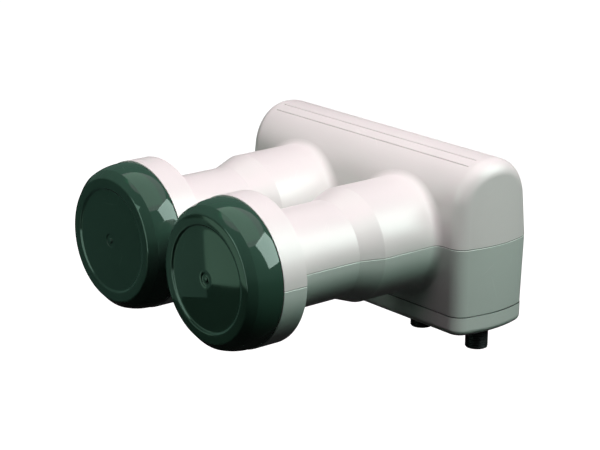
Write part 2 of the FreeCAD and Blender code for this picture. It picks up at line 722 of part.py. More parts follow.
def make_bottom_cover():
    """Shallow tray under the lower shell that closes the connector bay."""
    body = new_body("bottom_cover")
    block = extrude(body, "block", "z", LOWER_FLOOR, z.cover_height, lower_plan(1, -z.cover_proud), back=True)
    corners = soften(body, "corners", block, z.edge_radius, runs_down)

    def lower_rim(edge):
        return abs(edge.BoundBox.ZMax - COVER_FLOOR.number) < TINY

    def upper_rim(edge):
        return abs(edge.BoundBox.ZMin - LOWER_FLOOR.number) < TINY

    rounded = soften(body, "lower_edge", corners, z.cover_edge_radius, lower_rim)
    soften(body, "upper_edge", rounded, z.cover_bevel, upper_rim, bevel=True)
    extrude(body, "cavity", "z", LOWER_FLOOR, z.cover_height - z.cover_wall,
            lower_plan(1, z.cover_wall - z.cover_proud), cut=True, back=True)
    hole = z.connector_collar_radius + z.cover_hole_clearance
    extrude(body, "connector_holes", "z", COVER_FLOOR, z.cover_wall + OVERCUT,
            circles(connector_places(), hole), cut=True)
    for n, (x_place, way) in enumerate(hook_places(), 1):
        inner = BODY_MIDDLE + way * (z.hook_offset - z.hook_thickness + z.spigot_clearance)
        outer = inner + way * z.hook_thickness
        barb = outer + way * z.hook_barb
        catch = FLOOR_TOP + z.spigot_clearance
        tip = catch + 2 * z.hook_barb + z.hook_thickness
        root_level = COVER_FLOOR + z.cover_wall / 2
        corners_of_hook = [(inner, root_level), (outer, root_level), (outer, catch), (barb, catch),
                           (inner + way * z.hook_thickness / 2, tip), (inner, tip)]
        extrude(body, f"hook_{n}", "x", x_place - z.hook_width / 2, z.hook_width,
                lambda sketch, points=corners_of_hook: outline(sketch, points))
    return keep("bottom_cover", body)


def cap_profile():
    """Half section of a feed cap as (radius, y) corners, outside first, then inside."""
    shoulder = CAP_FACE + z.cap_shoulder_depth
    rim_front = FLANGE_FRONT - z.cap_rim_length
    fall = z.cap_shoulder_inset
    run = rim_front - shoulder
    side_curve = (fall * fall + run * run) / (2 * fall)
    field = CAP_FACE + z.cap_recess_depth
    dome_top = field - z.cap_dome
    step_curve = z.cap_recess_depth / (2 * (1 - turned("cos", z.cap_recess_slope)))
    step_run = step_curve * turned("sin", z.cap_recess_slope)
    field_radius = RECESS_RADIUS - 2 * step_run
    dome_curve = (field_radius * field_radius) / (2 * z.cap_dome)
    seal_half = z.seal_section / 2 + z.seal_clearance
    seal_middle = FLANGE_FRONT + z.seal_setback
    seal_floor = FLANGE_BORE - z.seal_section - z.seal_clearance
    inner_rim = FLANGE_FRONT - z.cap_wall
    inner_side = CAP_RADIUS - z.cap_wall
    inner_shoulder_radius = SHOULDER_RADIUS - z.cap_wall
    inner_shoulder = shoulder + z.cap_wall / 2
    inner_fall = inner_side - inner_shoulder_radius
    inner_run = inner_rim - inner_shoulder
    inner_curve = (inner_fall * inner_fall + inner_run * inner_run) / (2 * inner_fall)
    inner_face = field + z.cap_wall
    return [
        (0, CAP_FACE - z.gate_height), (z.gate_radius, CAP_FACE - z.gate_height),
        (z.gate_radius, dome_top + z.gate_dimple), (z.gate_ring_radius, dome_top + z.gate_dimple),
        (z.gate_ring_radius, dome_top, -dome_curve), (field_radius, field, step_curve),
        (RECESS_RADIUS - step_run, CAP_FACE + z.cap_recess_depth / 2, -step_curve),
        (RECESS_RADIUS, CAP_FACE), (FACE_RADIUS, CAP_FACE), (SHOULDER_RADIUS, shoulder, side_curve),
        (CAP_RADIUS, rim_front), (CAP_RADIUS, FLANGE_FRONT), (SPIGOT_OUTSIDE, FLANGE_FRONT),
        (SPIGOT_OUTSIDE, seal_middle - seal_half), (seal_floor, seal_middle - seal_half),
        (seal_floor, seal_middle + seal_half), (SPIGOT_OUTSIDE, seal_middle + seal_half),
        (SPIGOT_OUTSIDE, FLANGE_FRONT + z.spigot_length), (SPIGOT_INSIDE, FLANGE_FRONT + z.spigot_length),
        (SPIGOT_INSIDE, inner_rim), (inner_side, inner_rim, -inner_curve),
        (inner_shoulder_radius, inner_shoulder), (RECESS_RADIUS + z.cap_wall, inner_face),
        (0, inner_face),
    ]


def make_feed_cap(side, x_place):
    """Snap-on weather cap in front of a horn."""
    body = new_body(f"feed_cap_{side}")
    shell = revolve(body, "shell", cap_profile(), x_place)

    def face_edge(edge):
        wide = abs(edge.BoundBox.ZLength - 2 * FACE_RADIUS.number) < TINY
        return wide and abs(edge.BoundBox.YMin - CAP_FACE.number) < TINY

    soften(body, "face_edge", shell, z.cap_edge_radius, face_edge)
    return keep(f"feed_cap_{side}", body)


def make_cap_seal(side, x_place):
    """Ring seal in the groove of a cap's collar."""
    body = new_body(f"cap_seal_{side}")
    sketch = new_sketch(body, "section_sketch", "XY_Plane", u=x_place)
    ring_radius = FLANGE_BORE - z.seal_clearance / 2 - z.seal_section / 2
    circle(sketch, ring_radius, FLANGE_FRONT + z.seal_setback, z.seal_section / 2)
    ring = body.newObject("PartDesign::Revolution", "ring")
    ring.Profile = sketch
    ring.ReferenceAxis = (sketch, ["V_Axis"])
    set_up(ring, Angle=360)
    return keep(f"cap_seal_{side}", body)


CHOKE_RINGS = 4


def horn_profile():
    """Half section of a cast horn with its choke rings and tube, as (radius, y) corners."""
    mouth = CAP_FACE + z.horn_mouth_gap
    disc_front = mouth + z.choke_depth
    disc_back = FLANGE_BACK - z.shell_wall
    rim = SPIGOT_INSIDE - z.horn_clearance
    inner_ring = GUIDE_BORE + z.horn_flare
    in_tray = TRAY_FRONT + z.tray_wall / 2
    pitch = (rim - inner_ring - z.choke_wall) / (CHOKE_RINGS - 1)
    corners = [(GUIDE_BORE, in_tray), (GUIDE_BORE, disc_front), (inner_ring, mouth)]
    for n in range(CHOKE_RINGS):
        inside = inner_ring + n * pitch
        outside = inside + z.choke_wall
        front = mouth + n * z.choke_step
        if n > 0:
            corners += [(inside, disc_front), (inside, front)]
        corners += [(outside, front)]
        if n < CHOKE_RINGS - 1:
            corners += [(outside, disc_front)]
    corners += [(rim, disc_back), (GUIDE_OUTSIDE, disc_back), (GUIDE_OUTSIDE, in_tray)]
    return corners


NECK_RIBS = 6


def neck_ribs(body, side, x_place):
    """Ribs along the cast tube that back the clamp neck."""
    start = FLANGE_BACK - z.shell_wall * 5 / 4
    sketch = new_sketch(body, f"rib_{side}_sketch", "XZ_Plane", u=x_place, out=-start)
    half = z.neck_rib_width / 2
    rectangle(sketch, -half, half, GUIDE_BORE + z.waveguide_wall / 2, NECK_BORE - z.neck_rib_clearance)
    rib = body.newObject("PartDesign::Pad", f"rib_{side}")
    rib.Profile = sketch
    rib.Reversed = True
    set_up(rib, Length=NECK_BACK - start)
    ribs = body.newObject("PartDesign::PolarPattern", f"ribs_{side}")
    ribs.Originals = [rib]
    ribs.Axis = (sketch, ["N_Axis"])
    ribs.Angle = 360
    ribs.Occurrences = NECK_RIBS
    body.Tip = ribs
    return ribs


def tray_outline(sketch, inset=None):
    """The tray's round-cornered outline seen from behind, or its inside."""
    if inset is None:
        rectangle(sketch, -TRAY_HALF, TRAY_HALF, TRAY_UNDERSIDE, TRAY_TOP, z.tray_corner_radius)
    else:
        rectangle(sketch, inset - TRAY_HALF, TRAY_HALF - inset, TRAY_UNDERSIDE + inset, TRAY_TOP - inset)


def make_chassis():
    """Die-cast chassis: both horns, their waveguides and the tray for the board."""
    body = new_body("chassis_casting")
    extrude(body, "tray", "y", TRAY_FRONT, TRAY_BACK - TRAY_FRONT, tray_outline)
    for side, x_place in FEEDS.items():
        revolve(body, f"horn_{side}", horn_profile(), x_place)
    for side, x_place in FEEDS.items():
        neck_ribs(body, side, x_place)
    extrude(body, "tray_inside", "y", TRAY_FLOOR, z.tray_depth + OVERCUT,
            lambda sketch: tray_outline(sketch, z.tray_wall), cut=True)
    extrude(body, "screw_bosses", "y", TRAY_FRONT, TRAY_BACK - TRAY_FRONT,
            circles(LID_SCREW_PLACES, z.boss_radius))
    thread = z.lid_screw_diameter / 2 + z.thread_clearance
    extrude(body, "screw_threads", "y", TRAY_FRONT + z.tray_wall / 3, TRAY_BACK - TRAY_FRONT,
            circles(LID_SCREW_PLACES, thread), cut=True)
    centres = [(x_place, 0) for x_place in FEEDS.values()]
    extrude(body, "waveguide_ends", "y", TRAY_FRONT - OVERCUT, z.tray_wall + 2 * OVERCUT,
            circles(centres, GUIDE_BORE), cut=True)
    seat = z.connector_spigot_radius + z.thread_clearance
    extrude(body, "connector_seats", "z", TRAY_UNDERSIDE - OVERCUT, z.tray_wall + OVERCUT,
            circles(connector_places(), seat), cut=True)
    return keep("chassis_casting", body)


def make_board():
    """Circuit board with the printed probes that reach into both waveguides."""
    body = new_body("circuit_board")
    inset = z.tray_wall + z.board_clearance
    extrude(body, "board", "y", TRAY_FLOOR, z.board_thickness, lambda sketch: tray_outline(sketch, inset))
    hole = z.boss_radius + z.board_clearance
    extrude(body, "boss_holes", "y", TRAY_FLOOR - OVERCUT, z.board_thickness + 2 * OVERCUT,
            circles(LID_SCREW_PLACES, hole), cut=True)
    centres = [(x_place, 0) for x_place in FEEDS.values()]
    extrude(body, "waveguide_holes", "y", TRAY_FLOOR - OVERCUT, z.board_thickness + 2 * OVERCUT,
            circles(centres, GUIDE_BORE), cut=True)

    def probes(sketch):
        half = z.probe_width / 2
        for x_place in FEEDS.values():
            wall = GUIDE_BORE + OVERCUT
            tip = GUIDE_BORE - z.probe_length
            rectangle(sketch, x_place + tip, x_place + wall, -half, half)
            rectangle(sketch, x_place - half, x_place + half, tip, wall)

    extrude(body, "probes", "y", TRAY_FLOOR, z.board_thickness, probes)
    return keep("circuit_board", body)


def make_gasket():
    """Sealing frame between the tray's rim and the lid."""
    body = new_body("lid_gasket")
    extrude(body, "frame", "y", TRAY_BACK, z.gasket_thickness, tray_outline)
    extrude(body, "opening", "y", TRAY_BACK - OVERCUT, z.gasket_thickness + 2 * OVERCUT,
            lambda sketch: tray_outline(sketch, z.tray_wall), cut=True)
    extrude(body, "lugs", "y", TRAY_BACK, z.gasket_thickness, circles(LID_SCREW_PLACES, z.boss_radius))
    hole = z.lid_screw_diameter / 2 + z.screw_clearance
    extrude(body, "screw_holes", "y", TRAY_BACK - OVERCUT, z.gasket_thickness + 2 * OVERCUT,
            circles(LID_SCREW_PLACES, hole), cut=True)
    return keep("lid_gasket", body)


def puck_places():
    """Where the four resonators and their tuning screws stand, seen from behind."""
    return [(side * PUCK_OFFSET, level) for side in (-1, 1) for level in (z.puck_upper, z.puck_lower)]


def make_lid():
    """Shield lid with the cups that close the waveguides and the walls between the circuits."""
    body = new_body("shield_lid")
    extrude(body, "plate", "y", LID_FRONT, z.lid_thickness, tray_outline)
    wall_front = BOARD_BACK + z.lid_gap
    cup_back = BOARD_BACK + z.backshort_depth
    centres = [(x_place, 0) for x_place in FEEDS.values()]
    extrude(body, "cups", "y", wall_front, cup_back + z.backshort_wall - wall_front,
            circles(centres, CUP_OUTSIDE))

    def septa(sketch):
        half = z.septum_thickness / 2
        low = z.lid_gap + TRAY_SHELF
        high = TRAY_TOP - z.tray_wall - z.lid_gap
        for x_place in (z.septum_end_gap - TRAY_HALF, TRAY_HALF - z.septum_end_gap):
            rectangle(sketch, x_place - half, x_place + half, low, high)
        rectangle(sketch, -half, half, low, high)

    extrude(body, "septa", "y", wall_front, LID_FRONT - wall_front + z.lid_thickness / 2, septa)
    extrude(body, "cup_insides", "y", wall_front - OVERCUT, cup_back - wall_front + OVERCUT,
            circles(centres, GUIDE_BORE), cut=True)
    hole = z.lid_screw_diameter / 2 + z.screw_clearance
    tuning = z.tuning_screw_diameter / 2 + z.thread_clearance
    through = z.lid_thickness + 2 * OVERCUT
    extrude(body, "screw_holes", "y", LID_FRONT - OVERCUT, through, circles(LID_SCREW_PLACES, hole), cut=True)
    extrude(body, "tuning_holes", "y", LID_FRONT - OVERCUT, through, circles(puck_places(), tuning), cut=True)
    return keep("shield_lid", body)


def y_turned(label, profile, u, v):
    """A piece turned about its own line along Y, at a place seen from behind."""
    body = new_body(label)
    sketch = new_sketch(body, "section_sketch", "XY_Plane")
    outline(sketch, profile)
    feature = body.newObject("PartDesign::Revolution", "turned")
    feature.Profile = sketch
    feature.ReferenceAxis = (sketch, ["V_Axis"])
    set_up(feature, Angle=360)
    place(body, x=u, z=v)
    return body


def screw_slot(body, back, width, depth, reach):
    """A straight driver slot in the back face of a screw that runs along Y."""
    half = width / 2
    extrude(body, "slot", "y", back - depth, depth + OVERCUT,
            lambda sketch: rectangle(sketch, -half, half, -reach, reach), cut=True)


def make_lid_pieces():
    """Screws, resonators, tuning screws, chips and transistors of the board and the lid."""
    shank = z.lid_screw_diameter / 2
    head = z.lid_screw_head_radius
    tip = LID_BACK - z.lid_screw_length
    top = LID_BACK + z.lid_screw_head_height
    screw = [(0, tip), (shank, tip), (shank, LID_BACK), (head, LID_BACK), (head, top), (0, top)]
    screws = []
    for n, (u, v) in enumerate(LID_SCREW_PLACES, 1):
        body = y_turned(f"lid_screw_{n}", screw, u, v)
        screw_slot(body, top, z.lid_screw_diameter / 4, z.lid_screw_head_height / 2, head + OVERCUT)
        screws.append(body)
    group("lid_screws", screws)

    puck = [(0, BOARD_BACK), (z.puck_radius, BOARD_BACK), (z.puck_radius, BOARD_BACK + z.puck_height),
            (0, BOARD_BACK + z.puck_height)]
    group("resonator_pucks", [y_turned(f"puck_{n}", puck, u, v) for n, (u, v) in enumerate(puck_places(), 1)])

    radius = z.tuning_screw_diameter / 2
    back = LID_BACK + z.tuning_screw_proud
    tip = back - z.tuning_screw_length
    tuner = [(0, tip), (radius, tip), (radius, back), (0, back)]
    tuners = []
    for n, (u, v) in enumerate(puck_places(), 1):
        body = y_turned(f"tuning_screw_{n}", tuner, u, v)
        screw_slot(body, back, z.tuning_screw_diameter / 5, z.tuning_screw_proud, radius + OVERCUT)
        tuners.append(body)
    group("tuning_screws", tuners)

    def chip(label, u, v, width, height, thickness):
        body = new_body(label)
        extrude(body, "package", "y", BOARD_BACK, thickness, lambda sketch: rectangle(
            sketch, u - width / 2, u + width / 2, v - height / 2, v + height / 2))
        return body

    switch = chip("switch_chip", z.chip_offset, z.chip_level, z.chip_side, z.chip_side, z.chip_height)
    keep("switch_chip", switch)
    regulator = chip("voltage_regulator", -z.chip_offset, z.chip_level, z.regulator_width,
                     z.regulator_length, z.regulator_height)
    keep("voltage_regulator", regulator)
    side = z.transistor_side
    reach = CUP_OUTSIDE + z.transistor_gap
    transistors = []
    for x_place in FEEDS.values():
        for u, v in ((x_place, reach), (x_place, -reach)):
            label = f"transistor_{len(transistors) + 1}"
            transistors.append(chip(label, u, v, side, side, z.transistor_height))
    group("amplifier_transistors", transistors)


def make_connectors():
    """The four F connectors with their insulators, contacts and seals."""
    outside = z.connector_diameter / 2
    collar = z.connector_collar_radius
    collar_end = COVER_FLOOR + z.cover_wall / 2
    bevel = z.connector_chamfer
    bore = z.connector_bore_radius
    throat = z.connector_throat_radius
    spigot = z.connector_spigot_radius
    shell = [
        (bore, CONNECTOR_END), (outside - bevel, CONNECTOR_END), (outside, CONNECTOR_END + bevel),
        (outside, collar_end), (collar, collar_end), (collar, FLANGE_UNDERSIDE),
        (z.connector_flange_radius, FLANGE_UNDERSIDE),
        (z.connector_flange_radius, TRAY_UNDERSIDE), (spigot, TRAY_UNDERSIDE), (spigot, TRAY_SHELF),
        (throat, TRAY_SHELF), (throat, FLANGE_UNDERSIDE), (bore, FLANGE_UNDERSIDE),
    ]
    tip = CONNECTOR_END + z.insulator_setback
    contact = z.contact_radius
    insulator = [
        (contact, tip), (bore, tip), (bore, FLANGE_UNDERSIDE), (throat, FLANGE_UNDERSIDE),
        (throat, TRAY_SHELF), (contact, TRAY_SHELF),
    ]
    socket = z.contact_bore_radius
    centre = [
        (socket, tip), (contact, tip), (contact, TRAY_SHELF), (z.pin_radius, TRAY_SHELF),
        (z.pin_radius, TRAY_SHELF + z.pin_length), (0, TRAY_SHELF + z.pin_length),
        (0, tip + z.contact_bore_length), (socket, tip + z.contact_bore_length),
    ]
    seal_inside = collar + z.thread_clearance
    seal = [
        (seal_inside, FLOOR_TOP), (z.connector_flange_radius, FLOOR_TOP),
        (z.connector_flange_radius, FLANGE_UNDERSIDE), (seal_inside, FLANGE_UNDERSIDE),
    ]
    pieces = {"f_": shell, "insulator_of_": insulator, "contact_of_": centre, "seal_of_": seal}
    for connector, x_place in CONNECTORS.items():
        for prefix, profile in pieces.items():
            body = new_body(prefix + connector)
            turn(body, "turned", profile)
            place(body, x=x_place, y=BODY_MIDDLE)
            keep(prefix + connector, body)


def make_housing_screws():
    """The four screws that pull the lower shell against the upper one."""
    seat = -z.pillar_shoulder
    shank = z.screw_diameter / 2
    head = z.screw_head_radius
    bottom = seat - z.screw_head_height
    tip = z.screw_grip
    profile = [(0, bottom), (head, bottom), (head, seat), (shank, seat), (shank, tip), (0, tip)]
    screws = []
    half = z.screw_diameter / 8
    reach = head * 2 / 3
    for n, (u, v) in enumerate(pillar_places(), 1):
        body = new_body(f"housing_screw_{n}")
        turn(body, "turned", profile)
        extrude(body, "cross_1", "z", bottom, z.screw_head_height / 2,
                lambda sketch: rectangle(sketch, -half, half, -reach, reach), cut=True)
        extrude(body, "cross_2", "z", bottom, z.screw_head_height / 2,
                lambda sketch: rectangle(sketch, -reach, reach, -half, half), cut=True)
        place(body, x=u, y=v)
        screws.append(body)
    group("housing_screws", screws)


def check_and_write():
    """Stop at any failed object, then write one file for each piece."""
    doc.recompute()
    failed = [item.Name for item in doc.Objects if {"Invalid", "Error"} & set(item.State)]
    if failed:
        raise RuntimeError(f"failed objects: {failed}")
    os.makedirs("parts", exist_ok=True)
    for label, item in nodes.items():
        shape = item.Shape
        if shape.isNull() or not shape.isValid() or not shape.Solids:
            raise RuntimeError(f"{label} has no valid shape")
        shape.exportStep(f"parts/{label}.step")
        print(f"{label}: {len(shape.Solids)} solid(s), {shape.Volume:.0f} mm3")


make_upper_shell()
make_lower_shell()
make_bottom_cover()
for feed_side, feed_x in FEEDS.items():
    make_feed_cap(feed_side, feed_x)
    make_cap_seal(feed_side, feed_x)
make_chassis()
make_board()
make_gasket()
make_lid()
make_lid_pieces()
make_connectors()
make_housing_screws()
check_and_write()
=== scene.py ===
"""Looks of the twin-feed satellite receiver.

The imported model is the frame: every piece here is in metres, in its axes. X runs from the left
feed to the right one, the feeds look towards -Y and the connectors point towards -Z. Sizes of
the pieces are in millimetres, as on a drawing, and MM turns them into metres. The studio is in
metres, apart from the camera and the cards, which say so.
"""
import logging
import math
from dataclasses import dataclass, field, replace
from enum import Enum

import bpy
from mathutils import Matrix, Vector


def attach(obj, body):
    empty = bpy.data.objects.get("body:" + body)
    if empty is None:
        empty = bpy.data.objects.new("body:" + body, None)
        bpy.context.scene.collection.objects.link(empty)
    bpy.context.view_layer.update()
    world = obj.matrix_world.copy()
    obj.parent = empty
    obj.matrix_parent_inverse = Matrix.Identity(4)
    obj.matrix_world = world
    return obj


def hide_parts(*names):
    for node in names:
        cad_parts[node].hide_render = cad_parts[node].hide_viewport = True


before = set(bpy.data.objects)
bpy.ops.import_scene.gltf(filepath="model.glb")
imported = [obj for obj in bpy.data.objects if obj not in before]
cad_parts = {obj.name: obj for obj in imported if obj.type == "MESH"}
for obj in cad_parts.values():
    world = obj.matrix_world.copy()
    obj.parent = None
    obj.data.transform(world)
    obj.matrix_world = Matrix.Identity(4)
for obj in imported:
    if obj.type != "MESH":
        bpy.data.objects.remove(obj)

log = logging.getLogger("receiver")
MM = 0.001
# Places nearer than these, in metres, count as one: of a picked or wound vertex, in a drawn mesh and
# in a carved one
PICKED, DRAWN, CARVED = 1e-6, 2e-7, 1e-7
CONNECTORS = range(1, 5)
Colour = tuple[float, float, float]
Point = tuple[float, float, float]


class Way(Enum):
    """Directions along which turned pieces are drawn, with the direction of their radius."""

    FORWARD = ((0.0, -1.0, 0.0), (1.0, 0.0, 0.0))
    DOWN = ((0.0, 0.0, -1.0), (1.0, 0.0, 0.0))

    @property
    def along(self) -> Vector:
        """Direction of the axis."""
        return Vector(self.value[0])

    @property
    def outwards(self) -> Vector:
        """Direction in which the radius is drawn."""
        return Vector(self.value[1])


# Modelling


def start_alone() -> None:
    """Leave edit mode and deselect everything, so that an operator meets only the new piece."""
    if bpy.context.object is not None and bpy.context.object.mode != "OBJECT":
        bpy.ops.object.mode_set(mode="OBJECT")
    bpy.ops.object.select_all(action="DESELECT")


def pick_vertex(piece: bpy.types.Object, place: Vector) -> None:
    """Select the vertex that stands at the given place, in edit mode.

    Args:
        piece: the piece in hand, in edit mode.
        place: where the vertex stands, in metres.
    """
    bpy.ops.mesh.select_all(action="DESELECT")
    bpy.ops.object.mode_set(mode="OBJECT")
    for vertex in piece.data.vertices:
        vertex.select = (vertex.co - place).length < PICKED
    bpy.ops.object.mode_set(mode="EDIT")


def draw_line(name: str, places: list[Vector]) -> bpy.types.Object:
    """Draw a line of vertices. The first is a small plane, merged to one vertex.

    Args:
        name: name of the new piece.
        places: where the vertices stand, in metres.

    Returns:
        The piece, in edit mode, with the line drawn.
    """
    start_alone()
    bpy.ops.mesh.primitive_plane_add(size=MM, location=places[0])
    piece = bpy.context.object
    piece.name = name
    piece.data.name = name
    bpy.ops.object.transform_apply(location=True, rotation=True, scale=True)
    bpy.ops.object.mode_set(mode="EDIT")
    bpy.ops.mesh.select_mode(type="VERT")
    bpy.ops.mesh.select_all(action="SELECT")
    bpy.ops.mesh.merge(type="CENTER")
    for last, place in zip(places, places[1:]):
        bpy.ops.mesh.extrude_vertices_move(TRANSFORM_OT_translate={"value": place - last})
    return piece


def close_and_face_out() -> None:
    """Merge doubled vertices of the piece in edit mode and turn its faces outwards."""
    bpy.ops.mesh.select_all(action="SELECT")
    bpy.ops.mesh.remove_doubles(threshold=DRAWN)
    bpy.ops.mesh.dissolve_degenerate(threshold=CARVED)
    bpy.ops.mesh.select_all(action="SELECT")
    bpy.ops.mesh.normals_make_consistent(inside=False)


def apply_modifiers(piece: bpy.types.Object) -> None:
    """Apply every modifier of a piece, first to last."""
    bpy.context.view_layer.objects.active = piece
    for modifier in list(piece.modifiers):
        bpy.ops.object.modifier_apply(modifier=modifier.name)


def copy_aside(piece: bpy.types.Object, name: str, shift: Vector) -> bpy.types.Object:
    """Copy a finished piece, with a mesh of its own that stands at the new place.

    Args:
        piece: the finished piece.
        name: name of the copy.
        shift: how far the copy stands from the piece, in metres.

    Returns:
        The copy, with its object at the origin.
    """
    start_alone()
    piece.select_set(True)
    bpy.context.view_layer.objects.active = piece
    bpy.ops.object.duplicate()
    copy = bpy.context.object
    copy.name = name
    copy.data.name = name
    bpy.ops.object.mode_set(mode="EDIT")
    bpy.ops.mesh.select_all(action="SELECT")
    bpy.ops.transform.translate(value=shift)
    bpy.ops.object.mode_set(mode="OBJECT")
    return copy


def carve(piece: bpy.types.Object, tool: bpy.types.Object, operation: str, smooth_angle: float) -> None:
    """Join, cut or trim a piece with another one, which is used up.

    Args:
        piece: the piece that stays.
        tool: the form that acts on it.
        operation: UNION, DIFFERENCE or INTERSECT.
        smooth_angle: steepest edge that looks smooth, in degrees.
    """
    start_alone()
    bpy.context.view_layer.objects.active = piece
    modifier = piece.modifiers.new("carve", "BOOLEAN")
    modifier.object = tool
    modifier.operation = operation
    modifier.solver = "EXACT"
    apply_modifiers(piece)
    bpy.data.objects.remove(tool)
    piece.select_set(True)
    bpy.ops.object.mode_set(mode="EDIT")
    bpy.ops.mesh.select_all(action="SELECT")
    bpy.ops.mesh.remove_doubles(threshold=CARVED)
    bpy.ops.object.mode_set(mode="OBJECT")
    bpy.ops.object.shade_smooth_by_angle(angle=math.radians(smooth_angle))


@dataclass(frozen=True)
class Corner:
    """One corner of a turned profile, in millimetres."""

    radius: float
    along: float
    rounding: float = 0.0


@dataclass
class Turning:
    """A piece turned on a lathe: a line of corners, rounded, then spun about its axis."""

    name: str
    corners: list[Corner]
    way: Way
    centre: Point
    steps: int
    round_steps: int = 4
    smooth_angle: float = 35.0

    def place(self, corner: Corner) -> Vector:
        """Where a corner stands, in metres."""
        centre = Vector(self.centre)
        return (centre + self.way.outwards * corner.radius + self.way.along * corner.along) * MM

    def cut_back(self, n: int) -> float:
        """How far along its edges corner n is rounded, in metres."""
        here = self.corners[n]
        before = self.place(self.corners[n - 1]) - self.place(here)
        after = self.place(self.corners[(n + 1) % len(self.corners)]) - self.place(here)
        half_turn = (math.pi - before.angle(after)) / 2
        return here.rounding * math.tan(half_turn) * MM

    def build(self) -> bpy.types.Object:
        """Draw, round and spin the profile.

        Returns:
            The finished piece, closed and smooth.
        """
        piece = draw_line(self.name, [self.place(corner) for corner in self.corners])
        for n, corner in enumerate(self.corners):
            if corner.rounding > 0:
                pick_vertex(piece, self.place(corner))
                bpy.ops.mesh.bevel(offset=self.cut_back(n), offset_type="OFFSET", affect="VERTICES",
                                   segments=self.round_steps, profile=0.5)
        bpy.ops.mesh.select_all(action="SELECT")
        bpy.ops.mesh.spin(steps=self.steps, angle=math.tau, center=Vector(self.centre) * MM,
                          axis=self.way.along)
        close_and_face_out()
        bpy.ops.object.mode_set(mode="OBJECT")
        bpy.ops.object.shade_smooth_by_angle(angle=math.radians(self.smooth_angle))
        return piece


def arc_corners(start: tuple[float, float], end: tuple[float, float], bulge: float,
                parts: int) -> list[Corner]:
    """Corners along an arc between two points of a profile, its ends left out.

    Args:
        start: radius and place along the axis of its first end.
        end: the same for its last end.
        bulge: height of the arc over its chord, to the left of the way from start to end.
        parts: number of straight parts.

    Returns:
        The corners between the two ends.
    """
    first, last = Vector(start), Vector(end)
    chord = last - first
    forward = chord.normalized()
    side = Vector((-forward.y, forward.x))
    radius = (chord.length_squared / 4 + bulge * bulge) / (2 * abs(bulge))
    sign = math.copysign(1.0, bulge)
    middle = (first + last) / 2 + side * (bulge - sign * radius)
    half = math.asin(min(1.0, chord.length / 2 / radius))
    corners = []
    for n in range(1, parts):
        angle = half * (1 - 2 * n / parts)
        point = middle + side * sign * radius * math.cos(angle) - forward * radius * math.sin(angle)
        corners.append(Corner(point.x, point.y))
    return corners


# Materials


class Board:
    """A node tree that is filled from code."""

    def __init__(self, tree: bpy.types.NodeTree) -> None:
        """Take an empty tree in hand."""
        self.tree = tree
        self.tree.nodes.clear()

    def add(self, kind: str, inputs: dict[str | int, object] | None = None,
            **settings: object) -> bpy.types.Node:
        """Add a node, set its properties and feed its inputs.

        Args:
            kind: Blender's name of the node type, without its prefix.
            inputs: name or number of an input, with the socket or the value that feeds it.
            **settings: properties of the node.

        Returns:
            The new node.
        """
        node = self.tree.nodes.new(f"ShaderNode{kind}")
        for name, value in settings.items():
            setattr(node, name, value)
        for label, value in (inputs or {}).items():
            self.feed(node.inputs[label], value)
        return node

    def feed(self, target: bpy.types.NodeSocket, value: object) -> None:
        """Wire a socket to another one, or set its number, vector or colour."""
        if isinstance(value, bpy.types.NodeSocket):
            self.tree.links.new(value, target)
        elif target.type == "RGBA":
            target.default_value = (*value, 1.0)
        else:
            target.default_value = value

    def maths(self, operation: str, first: object, second: object,
              clamp: bool = False) -> bpy.types.NodeSocket:
        """Work out one number from two.

        Args:
            operation: the Math node's operation.
            first: a socket or a number.
            second: a socket or a number.
            clamp: keep the result between 0 and 1.

        Returns:
            The socket that carries the result.
        """
        return self.add("Math", {0: first, 1: second}, operation=operation, use_clamp=clamp).outputs[0]

    def ramp(self, value: bpy.types.NodeSocket, low: float, high: float, to_low: float = 0.0,
             to_high: float = 1.0) -> bpy.types.NodeSocket:
        """Spread a stretch of a value over another, smoothly.

        Args:
            value: the value that comes in.
            low: where the stretch starts.
            high: where it ends.
            to_low: what its start becomes.
            to_high: what its end becomes.

        Returns:
            The socket that carries the result.
        """
        inputs = {"Value": value, "From Min": low, "From Max": high, "To Min": to_low, "To Max": to_high}
        return self.add("MapRange", inputs, interpolation_type="SMOOTHSTEP").outputs["Result"]

    def blend(self, share: bpy.types.NodeSocket, first: object, second: object) -> bpy.types.NodeSocket:
        """Mix two colours.

        Args:
            share: share of the second colour.
            first: a socket or a colour.
            second: a socket or a colour.

        Returns:
            The socket that carries the mixed colour.
        """
        return self.add("Mix", {0: share, 6: first, 7: second}, data_type="RGBA").outputs[2]

    def weigh(self, *parts: tuple[bpy.types.NodeSocket, float]) -> bpy.types.NodeSocket:
        """Add two numbers by their shares.

        Args:
            *parts: each number's socket and its share.

        Returns:
            The socket that carries the sum.
        """
        return self.maths("ADD", *(self.maths("MULTIPLY", socket, share) for socket, share in parts))

    def seen_white(self) -> bpy.types.NodeSocket:
        """Tell the rays to which the floor and the world look white from those that light surfaces.

        Returns:
            The socket that is 1 for camera, glossy and transmission rays and 0 for all others.
        """
        path = self.add("LightPath").outputs
        seen = self.maths("MAXIMUM", path["Is Camera Ray"], path["Is Glossy Ray"])
        return self.maths("MAXIMUM", seen, path["Is Transmission Ray"])

    def glowing_cloth(self, colour: Colour, light: Colour, strength: object) -> bpy.types.NodeSocket:
        """A dull surface with a light of its own.

        Args:
            colour: the surface's colour.
            light: the light's colour.
            strength: the light's strength, as a socket or a number.

        Returns:
            The shader's socket.
        """
        diffuse = self.add("BsdfDiffuse", {"Color": colour}).outputs[0]
        glow = self.add("Emission", {"Color": light, "Strength": strength}).outputs[0]
        return self.add("AddShader", {0: diffuse, 1: glow}).outputs[0]


